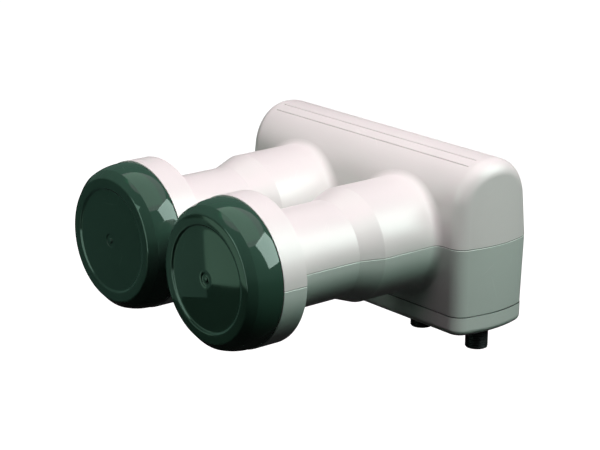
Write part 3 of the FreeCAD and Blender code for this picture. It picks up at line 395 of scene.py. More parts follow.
class Effect:
    """A shared shader group with named inputs and outputs, built once."""

    made: dict[str, bpy.types.NodeTree] = {}

    def __init__(self, name: str, inputs: dict[str, float], outputs: list[str]) -> None:
        """Open a new group.

        Args:
            name: name of the group.
            inputs: name and usual value of each number that it takes.
            outputs: names of the numbers that it gives.
        """
        self.tree = bpy.data.node_groups.new(name, "ShaderNodeTree")
        self.board = Board(self.tree)
        self.tree.interface.new_socket("Vector", in_out="INPUT", socket_type="NodeSocketVector")
        for label, value in inputs.items():
            socket = self.tree.interface.new_socket(label, in_out="INPUT", socket_type="NodeSocketFloat")
            socket.default_value = value
        for label in outputs:
            self.tree.interface.new_socket(label, in_out="OUTPUT", socket_type="NodeSocketFloat")
        self.start = self.tree.nodes.new("NodeGroupInput")
        self.end = self.tree.nodes.new("NodeGroupOutput")
        Effect.made[name] = self.tree

    def noise(self, scale: object, detail: float, roughness: float = 0.5, stretch: Point = (1, 1, 1),
              vector: bpy.types.NodeSocket | None = None) -> bpy.types.NodeSocket:
        """A noise over the surface.

        Args:
            scale: cells to the metre, as a socket or a number.
            detail: octaves.
            roughness: how strong the finer octaves are.
            stretch: how the pattern is squeezed along each axis.
            vector: where the pattern is read, or None for the group's own vector.

        Returns:
            The socket that carries the noise.
        """
        where = vector or self.start.outputs["Vector"]
        mapping = self.board.add("Mapping", {"Vector": where, "Scale": stretch})
        inputs = {"Vector": mapping.outputs[0], "Scale": scale, "Detail": detail, "Roughness": roughness}
        return self.board.add("TexNoise", inputs, noise_dimensions="3D").outputs["Fac"]

    def give(self, **results: bpy.types.NodeSocket) -> None:
        """Wire results to the group's outputs of these names."""
        for label, socket in results.items():
            self.board.feed(self.end.inputs[label], socket)


def make_mould_skin() -> None:
    """Group for moulded plastic: fine sparked grain, slow flow variation."""
    fine_share, coarse_share, coarse_scale, flow_edge = 0.65, 0.35, 0.31, (0.3, 0.7)
    effect = Effect("mould_skin", {"Grain": 2500.0, "Flow": 18.0}, ["Height", "Flow"])
    board = effect.board
    fine = effect.noise(effect.start.outputs["Grain"], 3.0, 0.6)
    coarse_grain = board.maths("MULTIPLY", effect.start.outputs["Grain"], coarse_scale)
    coarse = effect.noise(coarse_grain, 2.0)
    flow = effect.noise(effect.start.outputs["Flow"], 4.0, 0.55, (1.0, 0.6, 1.0))
    effect.give(Height=board.weigh((fine, fine_share), (coarse, coarse_share)),
                Flow=board.ramp(flow, *flow_edge))


def make_handling() -> None:
    """Group for handled surfaces: sparse hairline scratches and soft rubbed patches."""
    hairlines = ((0.4, (1.0, 22.0, 1.0)), (2.1, (24.0, 1.0, 1.0)), (1.2, (1.0, 1.0, 26.0)))
    lean, hairline_edge = (1.0, 0.7, 1.3), (0.735, 0.76)
    gap_scale, gap_edge = 45.0, (0.45, 0.6)
    patch_scale, patch_edge = 32.0, (0.46, 0.72)
    effect = Effect("handling", {"Length": 60.0, "Amount": 0.5}, ["Scratches", "Rubbed"])
    board = effect.board
    where, amount = effect.start.outputs["Vector"], effect.start.outputs["Amount"]
    lines = []
    for turn, stretch in hairlines:
        rotation = tuple(turn * share for share in lean)
        turned = board.add("Mapping", {"Vector": where, "Rotation": rotation})
        line = effect.noise(effect.start.outputs["Length"], 1.0, 0.5, stretch, turned.outputs[0])
        lines.append(board.ramp(line, *hairline_edge))
    scratches = board.maths("MAXIMUM", board.maths("MAXIMUM", lines[0], lines[1]), lines[2])
    gaps = board.add("TexNoise", {"Vector": where, "Scale": gap_scale}, noise_dimensions="3D")
    broken = board.maths("MULTIPLY", scratches, board.ramp(gaps.outputs["Fac"], *gap_edge))
    rubbed = board.ramp(effect.noise(patch_scale, 5.0, 0.62), *patch_edge)
    effect.give(Scratches=board.maths("MULTIPLY", broken, amount),
                Rubbed=board.maths("MULTIPLY", rubbed, amount))


def make_cast_skin() -> None:
    """Group for die-cast and plated metal: flow lines, fine sand and small pits."""
    sand_share, pit_share, pit_edge, flow_edge = 0.4, 0.6, (0.27, 0.36), (0.3, 0.72)
    effect = Effect("cast_skin", {"Grain": 3200.0, "Pits": 900.0}, ["Height", "Tone"])
    board = effect.board
    sand = effect.noise(effect.start.outputs["Grain"], 4.0, 0.7)
    pits = board.ramp(effect.noise(effect.start.outputs["Pits"], 1.0, 0.4), *pit_edge)
    flow = effect.noise(70.0, 6.0, 0.6, (1.0, 0.35, 1.0))
    effect.give(Height=board.weigh((sand, sand_share), (pits, pit_share)),
                Tone=board.ramp(flow, *flow_edge))


def make_joint_shade() -> None:
    """Group for the painted shade in the housing's joints, as bands of height.

    Band is the bands' height, Foot the level of the lower one, at the cover, and Body the place
    along Y where the housing begins, in metres. The seam is shaded less on the tubes before it.
    """
    full_until, seam_on_tubes, seam_start, seam_full = 0.55, 0.25, -0.004, 0.001
    effect = Effect("joint_shade", {"Band": 0.00045, "Foot": -0.02915, "Body": 0.0560}, ["Shade"])
    board = effect.board
    split = board.add("SeparateXYZ", {0: effect.start.outputs["Vector"]})
    height = split.outputs["Z"]
    bands = []
    for floor in (None, effect.start.outputs["Foot"]):
        over = height if floor is None else board.maths("SUBTRACT", height, floor)
        share = board.maths("DIVIDE", over, effect.start.outputs["Band"])
        above = board.maths("GREATER_THAN", share, 0.0)
        bands.append(board.maths("MULTIPLY", board.ramp(share, full_until, 1.0, 1.0, 0.0), above))
    behind = board.maths("SUBTRACT", split.outputs["Y"], effect.start.outputs["Body"])
    seam = board.maths("MULTIPLY", bands[0], board.ramp(behind, seam_start, seam_full, seam_on_tubes, 1.0))
    effect.give(Shade=board.maths("MAXIMUM", seam, bands[1]))


@dataclass(frozen=True)
class Finish:
    """What every finish has: a name, colours and gloss, and a skin that changes over the surface.

    Colours are linear, as the shader takes them.
    """

    name: str
    colour: Colour
    shade: Colour
    roughness: float
    rub: float = 0.08
    metallic: float = 0.0
    group: str = "mould_skin"
    skin: dict[str, float] = field(default_factory=dict)
    depth: float = 0.00001
    strength: float = 0.3
    scratches: float = 0.3
    scratch_roughness: float = 0.12
    scratch_depth: float = 0.5
    scratch_gain: float = 1.15
    scratch_lift: float = 0.015

    def place_group(self, board: Board, name: str, vector: bpy.types.NodeSocket,
                    values: dict[str, float]) -> bpy.types.Node:
        """Put a shared group into this finish with its own values.

        Args:
            board: the finish's node tree.
            name: name of the group.
            vector: where the pattern is read.
            values: the group's inputs that differ from its usual ones.

        Returns:
            The group's node.
        """
        return board.add("Group", {"Vector": vector, **values}, node_tree=Effect.made[name])

    def colour_over(self, board: Board, vector: bpy.types.NodeSocket, tone: bpy.types.NodeSocket,
                    marks: bpy.types.Node) -> bpy.types.NodeSocket:
        """The colour over the surface: a slow change between two near tones, with paler scratches.

        Args:
            board: the finish's node tree.
            vector: object coordinates, not used.
            tone: slow variation of the skin.
            marks: the handling group's node.

        Returns:
            The socket that carries the colour.
        """
        plain = board.blend(tone, self.shade, self.colour)
        paler = tuple(min(1.0, share * self.scratch_gain + self.scratch_lift) for share in self.colour)
        return board.blend(marks.outputs["Scratches"], plain, paler)

    def material(self) -> bpy.types.Material:
        """Build the material, or give the one already built.

        Returns:
            The material.
        """
        label = f"{self.name}_finish"
        ready = bpy.data.materials.get(label)
        if ready is not None:
            return ready
        material = bpy.data.materials.new(label)
        material.use_nodes = True
        material.diffuse_color = (*self.colour, 1.0)
        board = Board(material.node_tree)
        where = board.add("TexCoord").outputs["Object"]
        skin = self.place_group(board, self.group, where, self.skin)
        marks = self.place_group(board, "handling", where, {"Amount": self.scratches})
        tone = skin.outputs[1]
        slow = board.ramp(tone, 0.0, 1.0, self.roughness - self.rub / 2, self.roughness + self.rub / 2)
        rough = board.maths("ADD", slow, board.maths("MULTIPLY", marks.outputs["Rubbed"], self.rub))
        cut = board.maths("MULTIPLY", marks.outputs["Scratches"], self.scratch_roughness)
        furrow = board.maths("MULTIPLY", marks.outputs["Scratches"], self.scratch_depth)
        level = board.maths("SUBTRACT", skin.outputs[0], furrow)
        bump = board.add("Bump", {"Strength": self.strength, "Distance": self.depth, "Height": level})
        shader = board.add("BsdfPrincipled", {
            "Base Color": self.colour_over(board, where, tone, marks),
            "Roughness": board.maths("ADD", rough, cut, clamp=True),
            "Metallic": self.metallic,
            "Normal": bump.outputs["Normal"],
        })
        board.add("OutputMaterial", {"Surface": shader.outputs[0]})
        return material


@dataclass(frozen=True)
class HousingPlastic(Finish):
    """Plastic of the housing, with painted shade where its joints open."""

    # Colour of the painted shade in the joints
    painted_joint_colour: Colour = (0.05, 0.065, 0.058)

    def colour_over(self, board: Board, vector: bpy.types.NodeSocket, tone: bpy.types.NodeSocket,
                    marks: bpy.types.Node) -> bpy.types.NodeSocket:
        """The plastic's own colour, with painted shade in the joints over it.

        Args:
            board: the finish's node tree.
            vector: object coordinates.
            tone: slow variation of the skin.
            marks: the handling group's node.

        Returns:
            The socket that carries the colour.
        """
        plain = super().colour_over(board, vector, tone, marks)
        # Painted shade: dark bands at the seam and at the cover's joint
        joints = self.place_group(board, "joint_shade", vector, {})
        return board.blend(joints.outputs["Shade"], plain, self.painted_joint_colour)


@dataclass(frozen=True)
class BoardLaminate(Finish):
    """Circuit board: lacquer over glass fibre, with copper tracks that show through it."""

    track: Colour = (0.10, 0.36, 0.16)
    track_scale: float = 260.0
    track_width: float = 0.09
    field_scale: float = 240.0
    field_edge: tuple[float, float] = (0.35, 0.37)

    def colour_over(self, board: Board, vector: bpy.types.NodeSocket, tone: bpy.types.NodeSocket,
                    marks: bpy.types.Node) -> bpy.types.NodeSocket:
        """Tracks under the lacquer: joints of a brick pattern, kept between the cells of another.

        Args:
            board: the finish's node tree.
            vector: object coordinates.
            tone: slow variation of the skin.
            marks: the handling group's node, not used.

        Returns:
            The socket that carries the colour.
        """
        plain = board.blend(tone, self.shade, self.colour)
        flat = board.add("Mapping", {"Vector": vector, "Scale": (1.0, 0.0, 1.0)})
        cells = board.add("TexVoronoi", {"Vector": flat.outputs[0], "Scale": self.field_scale},
                          feature="F1", distance="CHEBYCHEV")
        upright = board.add("Mapping", {"Vector": vector, "Rotation": (math.pi / 2, 0.0, 0.0)})
        lines = board.add("TexBrick", {"Vector": upright.outputs[0], "Scale": self.track_scale,
                                       "Mortar Size": self.track_width})
        here = board.ramp(cells.outputs["Distance"], *self.field_edge)
        tracks = board.maths("MULTIPLY", lines.outputs["Fac"], here)
        return board.blend(tracks, plain, self.track)


HOUSING = HousingPlastic("housing_plastic", (0.800, 0.775, 0.770), (0.775, 0.752, 0.748), 0.36,
                         skin={"Grain": 2400.0, "Flow": 16.0}, depth=0.00002, strength=0.20, scratches=0.25)
# The housing plastic made darker and greener for the lower shell and the cover: painted shade on the lower
# half, which gets less light
HOUSING_PAINTED_SHADE = replace(HOUSING, name="housing_plastic_painted_shade", colour=(0.665, 0.720, 0.688),
                        shade=(0.645, 0.700, 0.668))
CAP = Finish("cap_plastic", (0.030, 0.074, 0.052), (0.026, 0.066, 0.046), 0.05, rub=0.03,
             skin={"Grain": 260.0, "Flow": 30.0}, depth=0.00002, strength=0.08)
# Near-black plating colour: painted shade for connectors that lie in shadow under the housing
PLATING_PAINTED_SHADE = Finish("connector_plating", (0.085, 0.085, 0.09), (0.06, 0.06, 0.065), 0.34, metallic=1.0,
                 group="cast_skin", skin={"Grain": 5200.0}, depth=0.000006, strength=0.25)
RUBBER = Finish("seal_rubber", (0.020, 0.020, 0.021), (0.026, 0.026, 0.027), 0.62, rub=0.1,
                skin={"Grain": 1500.0}, depth=0.00002, strength=0.35, scratches=0.1)
ALLOY = Finish("cast_alloy", (0.60, 0.61, 0.63), (0.47, 0.48, 0.50), 0.45, metallic=1.0,
               group="cast_skin", depth=0.00004, strength=0.5, rub=0.14)
STEEL = Finish("screw_steel", (0.56, 0.57, 0.58), (0.46, 0.46, 0.46), 0.30, metallic=1.0,
               group="cast_skin", skin={"Grain": 6000.0}, depth=0.000006)
BRASS = Finish("contact_brass", (0.78, 0.56, 0.24), (0.66, 0.45, 0.18), 0.28, metallic=1.0,
               group="cast_skin", skin={"Grain": 7000.0}, depth=0.000005, strength=0.25)
POLYETHYLENE = Finish("insulator_plastic", (0.80, 0.79, 0.74), (0.76, 0.75, 0.70), 0.38,
                      skin={"Grain": 3000.0}, strength=0.2, scratches=0.15)
CERAMIC = Finish("ceramic", (0.62, 0.52, 0.38), (0.55, 0.45, 0.32), 0.55,
                 skin={"Grain": 3800.0}, depth=0.00002, strength=0.4, scratches=0.1)
EPOXY = Finish("chip_plastic", (0.020, 0.020, 0.022), (0.028, 0.028, 0.030), 0.48,
               skin={"Grain": 5200.0}, strength=0.4, scratches=0.1)
LAMINATE = BoardLaminate("board", (0.022, 0.13, 0.055), (0.018, 0.11, 0.045), 0.32,
                         skin={"Grain": 2600.0}, strength=0.15, scratches=0.15)

CARRIED_OVER = (
    (HOUSING, ["upper_shell"]),
    # The lower mouldings take the copy with painted shade
    (HOUSING_PAINTED_SHADE, ["lower_shell", "bottom_cover"]),
    (RUBBER, ["cap_seal_left", "cap_seal_right", "lid_gasket"]),
    (RUBBER, [f"seal_of_connector_{n}" for n in CONNECTORS]),
    (ALLOY, ["chassis_casting", "shield_lid"]),
    (LAMINATE, ["circuit_board"]),
    (STEEL, ["lid_screws", "housing_screws"]),
    (CERAMIC, ["resonator_pucks"]),
    (BRASS, ["tuning_screws"] + [f"contact_of_connector_{n}" for n in CONNECTORS]),
    (EPOXY, ["switch_chip", "voltage_regulator", "amplifier_transistors"]),
    (POLYETHYLENE, [f"insulator_of_connector_{n}" for n in CONNECTORS]),
)


def dress(piece: bpy.types.Object, finish: Finish) -> None:
    """Give a piece its finish as its only material."""
    piece.data.materials.clear()
    piece.data.materials.append(finish.material())


def stand_for(piece: bpy.types.Object, node: str, finish: Finish) -> None:
    """Let a piece take the place of a CAD node, with its finish.

    Args:
        piece: the new piece.
        node: name of the node that it stands for.
        finish: what it is made of.
    """
    dress(piece, finish)
    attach(piece, "root")
    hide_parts(node)
    log.info("%s stands for %s: %d faces", piece.name, node, len(piece.data.polygons))


def dress_nodes() -> None:
    """Give every carried-over node its finish."""
    for finish, names in CARRIED_OVER:
        for name in names:
            dress(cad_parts[name], finish)
            log.info("%s is finished as %s", name, finish.name)


# The pieces


@dataclass
class FeedCaps:
    """Weather caps in front of the two feeds. Places along the axis are in front of the origin."""

    feed_offset: float = 31.25
    face: float = 43.0
    ring_front: float = 29.2
    rim_radius: float = 30.0
    rim_length: float = 2.2
    shoulder_radius: float = 28.3
    shoulder_depth: float = 3.0
    face_radius: float = 25.4
    recess_radius: float = 22.0
    field_radius: float = 20.403
    recess_depth: float = 0.55
    step_bulge: float = 0.0707
    dome: float = 0.6
    dome_bulge: float = 0.113
    gate_radius: float = 1.1
    gate_ring_radius: float = 2.7
    gate_height: float = 0.25
    gate_dimple: float = 0.3
    gate_rounding: float = 0.25
    gate_foot: float = 0.10
    dimple_foot: float = 0.15
    dimple_edge: float = 0.12
    face_rounding: float = 1.1
    shoulder_rounding: float = 0.45
    side_bulge: float = 0.43
    rim_edge: float = 0.18
    arc_parts: int = 14
    step_parts: int = 5
    wall: float = 1.9
    spigot_outside: float = 27.8
    spigot_inside: float = 25.8
    spigot_end: float = 23.2
    groove_front: float = 26.625
    groove_back: float = 25.375
    groove_radius: float = 26.8
    collar_root: float = 0.1
    collar_lead: float = 0.4
    collar_edge: float = 0.2
    inner_rim_edge: float = 0.3
    inner_side_rounding: float = 0.4
    inner_shoulder_rounding: float = 1.0
    inner_face_rounding: float = 1.5
    steps: int = 192
    smooth_angle: float = 30.0

    def outside(self) -> list[Corner]:
        """Profile of the outside, from the gate mark to the ring behind the cap."""
        field_level = self.face - self.recess_depth
        dome_top = (self.gate_ring_radius, field_level + self.dome)
        dimple = dome_top[1] - self.gate_dimple
        field_edge = (self.field_radius, field_level)
        middle = ((self.field_radius + self.recess_radius) / 2, self.face - self.recess_depth / 2)
        recess_edge = (self.recess_radius, self.face)
        shoulder = (self.shoulder_radius, self.face - self.shoulder_depth)
        rim = (self.rim_radius, self.ring_front + self.rim_length)
        return [
            Corner(0.0, self.face + self.gate_height),
            Corner(self.gate_radius, self.face + self.gate_height, self.gate_rounding),
            Corner(self.gate_radius, dimple, self.gate_foot),
            Corner(self.gate_ring_radius, dimple, self.dimple_foot),
            Corner(*dome_top, self.dimple_edge),
            *arc_corners(dome_top, field_edge, self.dome_bulge, self.arc_parts),
            Corner(*field_edge),
            *arc_corners(field_edge, middle, -self.step_bulge, self.step_parts),
            Corner(*middle),
            *arc_corners(middle, recess_edge, self.step_bulge, self.step_parts),
            Corner(*recess_edge),
            Corner(self.face_radius, self.face, self.face_rounding),
            Corner(*shoulder, self.shoulder_rounding),
            *arc_corners(shoulder, rim, self.side_bulge, self.arc_parts),
            Corner(*rim),
            Corner(self.rim_radius, self.ring_front, self.rim_edge),
        ]

    def inside(self) -> list[Corner]:
        """Profile of the collar with its seal groove and of the inner side, back to the axis."""
        inner_rim = self.ring_front + self.wall
        inner_shoulder = self.face - self.shoulder_depth - self.wall / 2
        inner_face = self.face - self.recess_depth - self.wall
        return [
            Corner(self.spigot_outside, self.ring_front, self.collar_root),
            Corner(self.spigot_outside, self.groove_front),
            Corner(self.groove_radius, self.groove_front),
            Corner(self.groove_radius, self.groove_back),
            Corner(self.spigot_outside, self.groove_back),
            Corner(self.spigot_outside, self.spigot_end, self.collar_lead),
            Corner(self.spigot_inside, self.spigot_end, self.collar_edge),
            Corner(self.spigot_inside, inner_rim, self.inner_rim_edge),
            Corner(self.rim_radius - self.wall, inner_rim, self.inner_side_rounding),
            Corner(self.shoulder_radius - self.wall, inner_shoulder, self.inner_shoulder_rounding),
            Corner(self.recess_radius + self.wall, inner_face, self.inner_face_rounding),
            Corner(0.0, inner_face),
        ]

    def build(self) -> None:
        """Turn the right cap, copy it to the left feed and dress both."""
        turning = Turning("cap_right", self.outside() + self.inside(), Way.FORWARD,
                          (self.feed_offset, 0.0, 0.0), self.steps, smooth_angle=self.smooth_angle)
        right = turning.build()
        left = copy_aside(right, "cap_left", Vector((-2 * self.feed_offset * MM, 0.0, 0.0)))
        for cap, node in ((right, "feed_cap_right"), (left, "feed_cap_left")):
            stand_for(cap, node, CAP)


@dataclass
class FConnectors:
    """The four F connectors, with a real 3/8-32 thread. Places along the axis are below the origin."""

    offsets: tuple[float, ...] = (-59.0, -26.2, 26.2, 59.0)
    depth_place: float = 77.25
    thread_radius: float = 4.75
    pitch: float = 25.4 / 32
    thread_depth: float = 0.43
    root_edge: float = 0.06
    crest_edge: float = 0.44
    spare_turns: int = 4
    end: float = 47.0
    chamfer: float = 0.7
    play: float = 0.001
    collar_end: float = 36.2
    collar_runout: float = 0.2
    collar_cone: float = 0.3
    collar_radius: float = 5.0
    flange_front: float = 24.3
    flange_back: float = 22.5
    flange_radius: float = 5.8
    flange_rounding: float = 0.25
    stub_radius: float = 3.2
    stub_end: float = 19.5
    stub_rounding: float = 0.3
    bore_radius: float = 3.4
    bore_chamfer: float = 0.4
    bore_overrun: float = 1.0
    throat_radius: float = 2.1
    steps: int = 72
    smooth_angle: float = 30.0

    def thread(self) -> bpy.types.Object:
        """Rod with the thread: one pitch of the profile wound up, cut off flat at both ends.

        The edges of root and crest are told as shares of the pitch.

        Returns:
            The rod, round the Z axis.
        """
        root, crest = self.thread_radius - self.thread_depth, self.thread_radius
        low = -self.end - 2 * self.pitch
        flank = [(root, self.root_edge), (crest, self.crest_edge), (crest, 1 - self.crest_edge),
                 (root, 1 - self.root_edge), (root, 1 + self.root_edge)]
        places = [Vector((radius * MM, 0.0, (low + share * self.pitch) * MM)) for radius, share in flank]
        rod = draw_line("thread_rod", places)
        bpy.ops.object.mode_set(mode="OBJECT")
        winding = rod.modifiers.new("winding", "SCREW")
        winding.axis = "Z"
        winding.screw_offset = self.pitch * MM
        winding.iterations = math.ceil((self.end - self.collar_end) / self.pitch) + self.spare_turns
        winding.steps = winding.render_steps = self.steps
        winding.use_merge_vertices = True
        winding.merge_threshold = PICKED
        apply_modifiers(rod)
        bpy.ops.object.mode_set(mode="EDIT")
        close_and_face_out()
        for level, above in ((-self.end - self.pitch / 2, True), (-self.collar_end + self.pitch / 2, False)):
            bpy.ops.mesh.select_all(action="SELECT")
            bpy.ops.mesh.bisect(plane_co=(0.0, 0.0, level * MM), plane_no=(0.0, 0.0, 1.0), use_fill=True,
                                clear_inner=above, clear_outer=not above)
        close_and_face_out()
        bpy.ops.object.mode_set(mode="OBJECT")
        return rod

    def turned(self, name: str, corners: list[Corner]) -> bpy.types.Object:
        """Turn one plain form round the Z axis."""
        return Turning(name, corners, Way.DOWN, (0.0, 0.0, 0.0), self.steps).build()

    def build_one(self) -> bpy.types.Object:
        """Build a connector round the Z axis: threaded barrel, collar, shoulder and stub, then the bore.

        Returns:
            The connector.
        """
        crest = self.thread_radius + self.play
        root = self.thread_radius - self.thread_depth
        runout = self.collar_end + self.collar_runout
        mouth, tail = self.end + self.bore_overrun, self.stub_end - self.bore_overrun
        barrel = self.thread()
        envelope = self.turned("envelope", [
            Corner(0.0, self.end),
            Corner(self.thread_radius - self.chamfer, self.end),
            Corner(crest, self.end - self.chamfer),
            Corner(crest, self.collar_end),
            Corner(0.0, self.collar_end),
        ])
        carve(barrel, envelope, "INTERSECT", self.smooth_angle)
        shoulder = self.turned("shoulder", [
            Corner(0.0, runout),
            Corner(root, runout),
            Corner(self.collar_radius, self.collar_end - self.collar_cone),
            Corner(self.collar_radius, self.flange_front),
            Corner(self.flange_radius, self.flange_front, self.flange_rounding),
            Corner(self.flange_radius, self.flange_back),
            Corner(self.stub_radius, self.flange_back),
            Corner(self.stub_radius, self.stub_end, self.stub_rounding),
            Corner(0.0, self.stub_end),
        ])
        carve(barrel, shoulder, "UNION", self.smooth_angle)
        bore = self.turned("bore", [
            Corner(0.0, mouth),
            Corner(self.bore_radius + self.bore_chamfer + self.bore_overrun, mouth),
            Corner(self.bore_radius, self.end - self.bore_chamfer),
            Corner(self.bore_radius, self.flange_front),
            Corner(self.throat_radius, self.flange_front),
            Corner(self.throat_radius, tail),
            Corner(0.0, tail),
        ])
        carve(barrel, bore, "DIFFERENCE", self.smooth_angle)
        return barrel

    def build(self) -> None:
        """Build the first connector, copy it to the other three places and dress all four."""
        first = self.build_one()
        for n, offset in zip(CONNECTORS, self.offsets):
            place = Vector((offset, self.depth_place, 0.0)) * MM
            connector = copy_aside(first, f"threaded_connector_{n}", place)
            stand_for(connector, f"f_connector_{n}", PLATING_PAINTED_SHADE)
        bpy.data.objects.remove(first)


# The studio


class Lit(Enum):
    """What a lamp lights: bare surfaces or glossy reflections."""

    SURFACES = (True, False)
    REFLECTIONS = (False, True)


@dataclass(frozen=True)
class Softbox:
    """A rectangular lamp that looks at a point, with sizes in metres and its power in watts."""

    name: str
    place: Point
    aim: Point
    width: float
    height: float
    power: float
    colour: Colour
    lit: Lit

    def build(self) -> None:
        """Hang the lamp."""
        data = bpy.data.lights.new(self.name, "AREA")
        data.shape = "RECTANGLE"
        data.size = self.width
        data.size_y = self.height
        data.energy = self.power
        data.color = self.colour
        lamp = bpy.data.objects.new(self.name, data)
        lamp.location = self.place
        away = Vector(self.aim) - Vector(self.place)
        lamp.rotation_euler = away.to_track_quat("-Z", "Y").to_euler()
        lamp.visible_camera = False
        lamp.visible_diffuse, lamp.visible_glossy = self.lit.value
        bpy.context.scene.collection.objects.link(lamp)


@dataclass(frozen=True)
class Card:
    """A lit card that a cap's face reflects to the camera, in millimetres.

    It hangs square to the line of sight that the middle of the face mirrors, which runs forwards,
    turned left by turn degrees and down by dip degrees. Its edges are told from that line. The
    nearer a card hangs, the fewer other surfaces mirror it.
    """

    name: str
    cap: Point
    distance: float
    across: tuple[float, float]
    upwards: tuple[float, float]
    radiance: float
    colour: Colour
    turn: float = 52.0
    dip: float = 18.6

    def build(self) -> None:
        """Work out the card's place, size and power, and hang it as a lamp."""
        turn, dip = math.radians(self.turn), math.radians(self.dip)
        sight = Vector((-math.sin(turn) * math.cos(dip), -math.cos(turn) * math.cos(dip), -math.sin(dip)))
        right = Vector((math.cos(turn), -math.sin(turn), 0.0))
        up = sight.cross(right)
        aim = (Vector(self.cap) + right * sum(self.across) / 2 + up * sum(self.upwards) / 2) * MM
        width = (self.across[1] - self.across[0]) * MM
        height = (self.upwards[1] - self.upwards[0]) * MM
        power = self.radiance * math.pi * width * height
        place = aim + sight * self.distance * MM
        Softbox(self.name, place, aim, width, height, power, self.colour, Lit.REFLECTIONS).build()


@dataclass(frozen=True)
class View:
    """The photograph's view, with angles in degrees and lengths in millimetres."""

    azimuth: float = 49.4
    elevation: float = 17.08
    roll: float = 0.8
    target: Point = (70.04, -29.27, 28.58)
    distance: float = 732.78
    lens: float = 120.0
    sensor: float = 36.0

    def build(self) -> None:
        """Put up the camera."""
        turn, rise, roll = (math.radians(angle) for angle in (self.azimuth, self.elevation, self.roll))
        back = Vector((math.sin(turn) * math.cos(rise), -math.cos(turn) * math.cos(rise), math.sin(rise)))
        level = Vector((math.cos(turn), math.sin(turn), 0.0))
        upright = back.cross(level)
        right = level * math.cos(roll) + upright * math.sin(roll)
        up = upright * math.cos(roll) - level * math.sin(roll)
        data = bpy.data.cameras.new("camera")
        data.lens = self.lens
        data.sensor_width = self.sensor
        camera = bpy.data.objects.new("camera", data)
        place = (Vector(self.target) + back * self.distance) * MM
        camera.matrix_world = Matrix.Translation(place) @ Matrix((right, up, back)).transposed().to_4x4()
        bpy.context.scene.collection.objects.link(camera)
        bpy.context.scene.camera = camera


WHITE: Colour = (1.0, 1.0, 1.0)
BODY: Point = (0.0, 0.02, 0.0)
RIGHT_CAP: Point = (FeedCaps.feed_offset, -FeedCaps.face, 0.0)
LEFT_CAP: Point = (-FeedCaps.feed_offset, -FeedCaps.face, 0.0)


def cover(sheet: bpy.types.Object, name: str, material_name: str) -> Board:
    """Name a sheet of the studio and give it an empty material.

    Args:
        sheet: the sheet.
        name: its name.
        material_name: name of its material.

    Returns:
        The material's node tree.
    """
    sheet.name = name
    material = bpy.data.materials.new(material_name)
    material.use_nodes = True
    sheet.data.materials.append(material)
    return Board(material.node_tree)


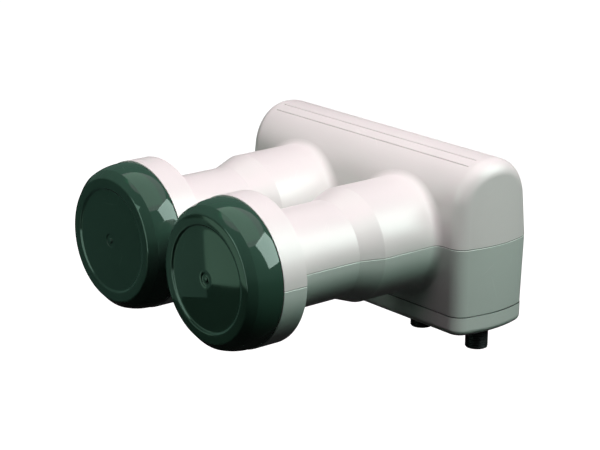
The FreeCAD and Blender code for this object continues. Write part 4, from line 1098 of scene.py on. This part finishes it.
@dataclass
class Studio:
    """Floor, lamps, black tent and camera round the object."""

    floor_level: float = -0.30
    floor_size: float = 12.0
    paper: Colour = (0.9, 0.9, 0.9)
    paper_glow: float = 0.75
    paper_fade: tuple[float, float] = (0.35, 1.1)
    tent_floor: float = -0.150
    tent_radius: float = 1.0
    tent_height: float = 1.35
    tent_sides: int = 64
    cloth: Colour = (0.02, 0.02, 0.02)
    wall_light: Colour = (0.55, 1.0, 0.80)
    wall_glow: float = 0.15
    wall_fade: tuple[float, float] = (0.05, 0.25)
    ambient: float = 0.04
    ambient_colour: Colour = (0.85, 1.0, 0.92)
    lamps: tuple[Softbox | Card, ...] = (
        Softbox("key", (0.25, 0.00, 0.87), BODY, 0.5, 0.5, 5.6, (1.0, 0.55, 0.74), Lit.SURFACES),
        Softbox("side", (0.55, 0.10, 0.75), BODY, 0.4, 0.4, 5.8, (0.69, 1.0, 0.84), Lit.SURFACES),
        Softbox("front", (0.0, -0.82, 0.48), BODY, 0.5, 0.3, 0.15, (0.65, 1.0, 0.82), Lit.SURFACES),
        Softbox("left", (-0.55, -0.55, 0.45), BODY, 0.5, 0.4, 2.3, (0.80, 1.0, 0.87), Lit.SURFACES),
        Softbox("back", (0.10, 0.70, 0.60), BODY, 0.6, 0.4, 1.2, (1.0, 0.80, 0.90), Lit.SURFACES),
        Softbox("window", (0.607, 0.440, 0.509), BODY, 0.6, 0.6, 7.8, (0.77, 1.0, 0.91), Lit.REFLECTIONS),
        Softbox("ceiling", (-0.05, -0.10, 1.10), (-0.05, -0.1, 0.0), 1.5, 1.3, 2.6, (0.05, 1.0, 0.35),
                Lit.REFLECTIONS),
        Softbox("shoulder_card", (-0.045, -0.54, 0.14), (-0.045, 0.0, 0.14), 0.26, 0.56, 1.2,
                (0.60, 1.0, 0.80), Lit.REFLECTIONS),
        Card("near_card", RIGHT_CAP, 200.0, (1.0, 60.0), (-2.8, 60.0), 0.97, (0.53, 1.0, 0.71)),
        Card("left_card", RIGHT_CAP, 50.0, (-18.0, 0.3), (-8.5, 27.0), 0.25, (0.49, 1.0, 0.76)),
        Card("far_card", LEFT_CAP, 30.0, (-17.5, 18.5), (-28.0, 28.0), 0.12, (0.45, 1.0, 0.81)),
    )

    def floor(self) -> None:
        """Pale floor that the camera sees white, with the object's shadow, and not at all from below."""
        start_alone()
        bpy.ops.mesh.primitive_plane_add(size=self.floor_size, location=(0, 0, self.floor_level))
        floor = bpy.context.object
        board = cover(floor, "floor", "floor_paper")
        where = board.add("TexCoord").outputs["Object"]
        away = board.add("VectorMath", {0: where}, operation="LENGTH")
        level = board.ramp(away.outputs["Value"], *self.paper_fade, self.paper_glow, 1.0)
        paper = board.glowing_cloth(self.paper, WHITE, board.maths("MULTIPLY", board.seen_white(), level))
        clear = board.add("BsdfTransparent").outputs[0]
        from_below = board.add("NewGeometry").outputs["Backfacing"]
        shader = board.add("MixShader", {0: from_below, 1: paper, 2: clear})
        board.add("OutputMaterial", {"Surface": shader.outputs[0]})

    def tent(self) -> None:
        """Black cloth under and round the object, open at the top.

        The camera sees through it. It keeps the undersides dark, and glossy pieces mirror it, with
        walls that glow faintly higher up.
        """
        start_alone()
        bpy.ops.mesh.primitive_circle_add(vertices=self.tent_sides, radius=self.tent_radius,
                                          fill_type="NGON", location=(0, 0, self.tent_floor))
        tent = bpy.context.object
        bpy.ops.object.mode_set(mode="EDIT")
        bpy.ops.mesh.select_mode(type="EDGE")
        bpy.ops.mesh.select_all(action="SELECT")
        bpy.ops.mesh.region_to_loop()
        bpy.ops.mesh.extrude_region_move(TRANSFORM_OT_translate={"value": (0, 0, self.tent_height)})
        bpy.ops.object.mode_set(mode="OBJECT")
        tent.visible_camera = False
        tent.visible_shadow = False
        board = cover(tent, "black_tent", "black_cloth")
        split = board.add("SeparateXYZ", {0: board.add("TexCoord").outputs["Object"]})
        wall = board.ramp(split.outputs["Z"], *self.wall_fade, 0.0, self.wall_glow)
        mirrored = board.maths("MULTIPLY", wall, board.add("LightPath").outputs["Is Glossy Ray"])
        board.add("OutputMaterial", {"Surface": board.glowing_cloth(self.cloth, self.wall_light, mirrored)})

    def surroundings(self) -> None:
        """World that is white to the eye and a dim even fill to the object."""
        world = bpy.data.worlds.new("surroundings")
        bpy.context.scene.world = world
        world.use_nodes = True
        board = Board(world.node_tree)
        dim = board.add("Background", {"Color": self.ambient_colour, "Strength": self.ambient})
        white = board.add("Background", {"Color": WHITE})
        mix = board.add("MixShader", {0: board.seen_white(), 1: dim.outputs[0], 2: white.outputs[0]})
        board.add("OutputWorld", {"Surface": mix.outputs[0]})

    def build(self) -> None:
        """Set up the whole studio."""
        self.floor()
        self.tent()
        self.surroundings()
        for lamp in self.lamps:
            lamp.build()
        View().build()
        bpy.context.scene.view_settings.view_transform = "Standard"


def main() -> None:
    """Build the pieces in order and set up the studio."""
    logging.basicConfig(level=logging.INFO, format="%(name)s: %(message)s")
    make_mould_skin()
    make_handling()
    make_cast_skin()
    make_joint_shade()
    dress_nodes()
    FeedCaps().build()
    FConnectors().build()
    Studio().build()


if __name__ == "__main__":
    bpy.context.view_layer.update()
    main()
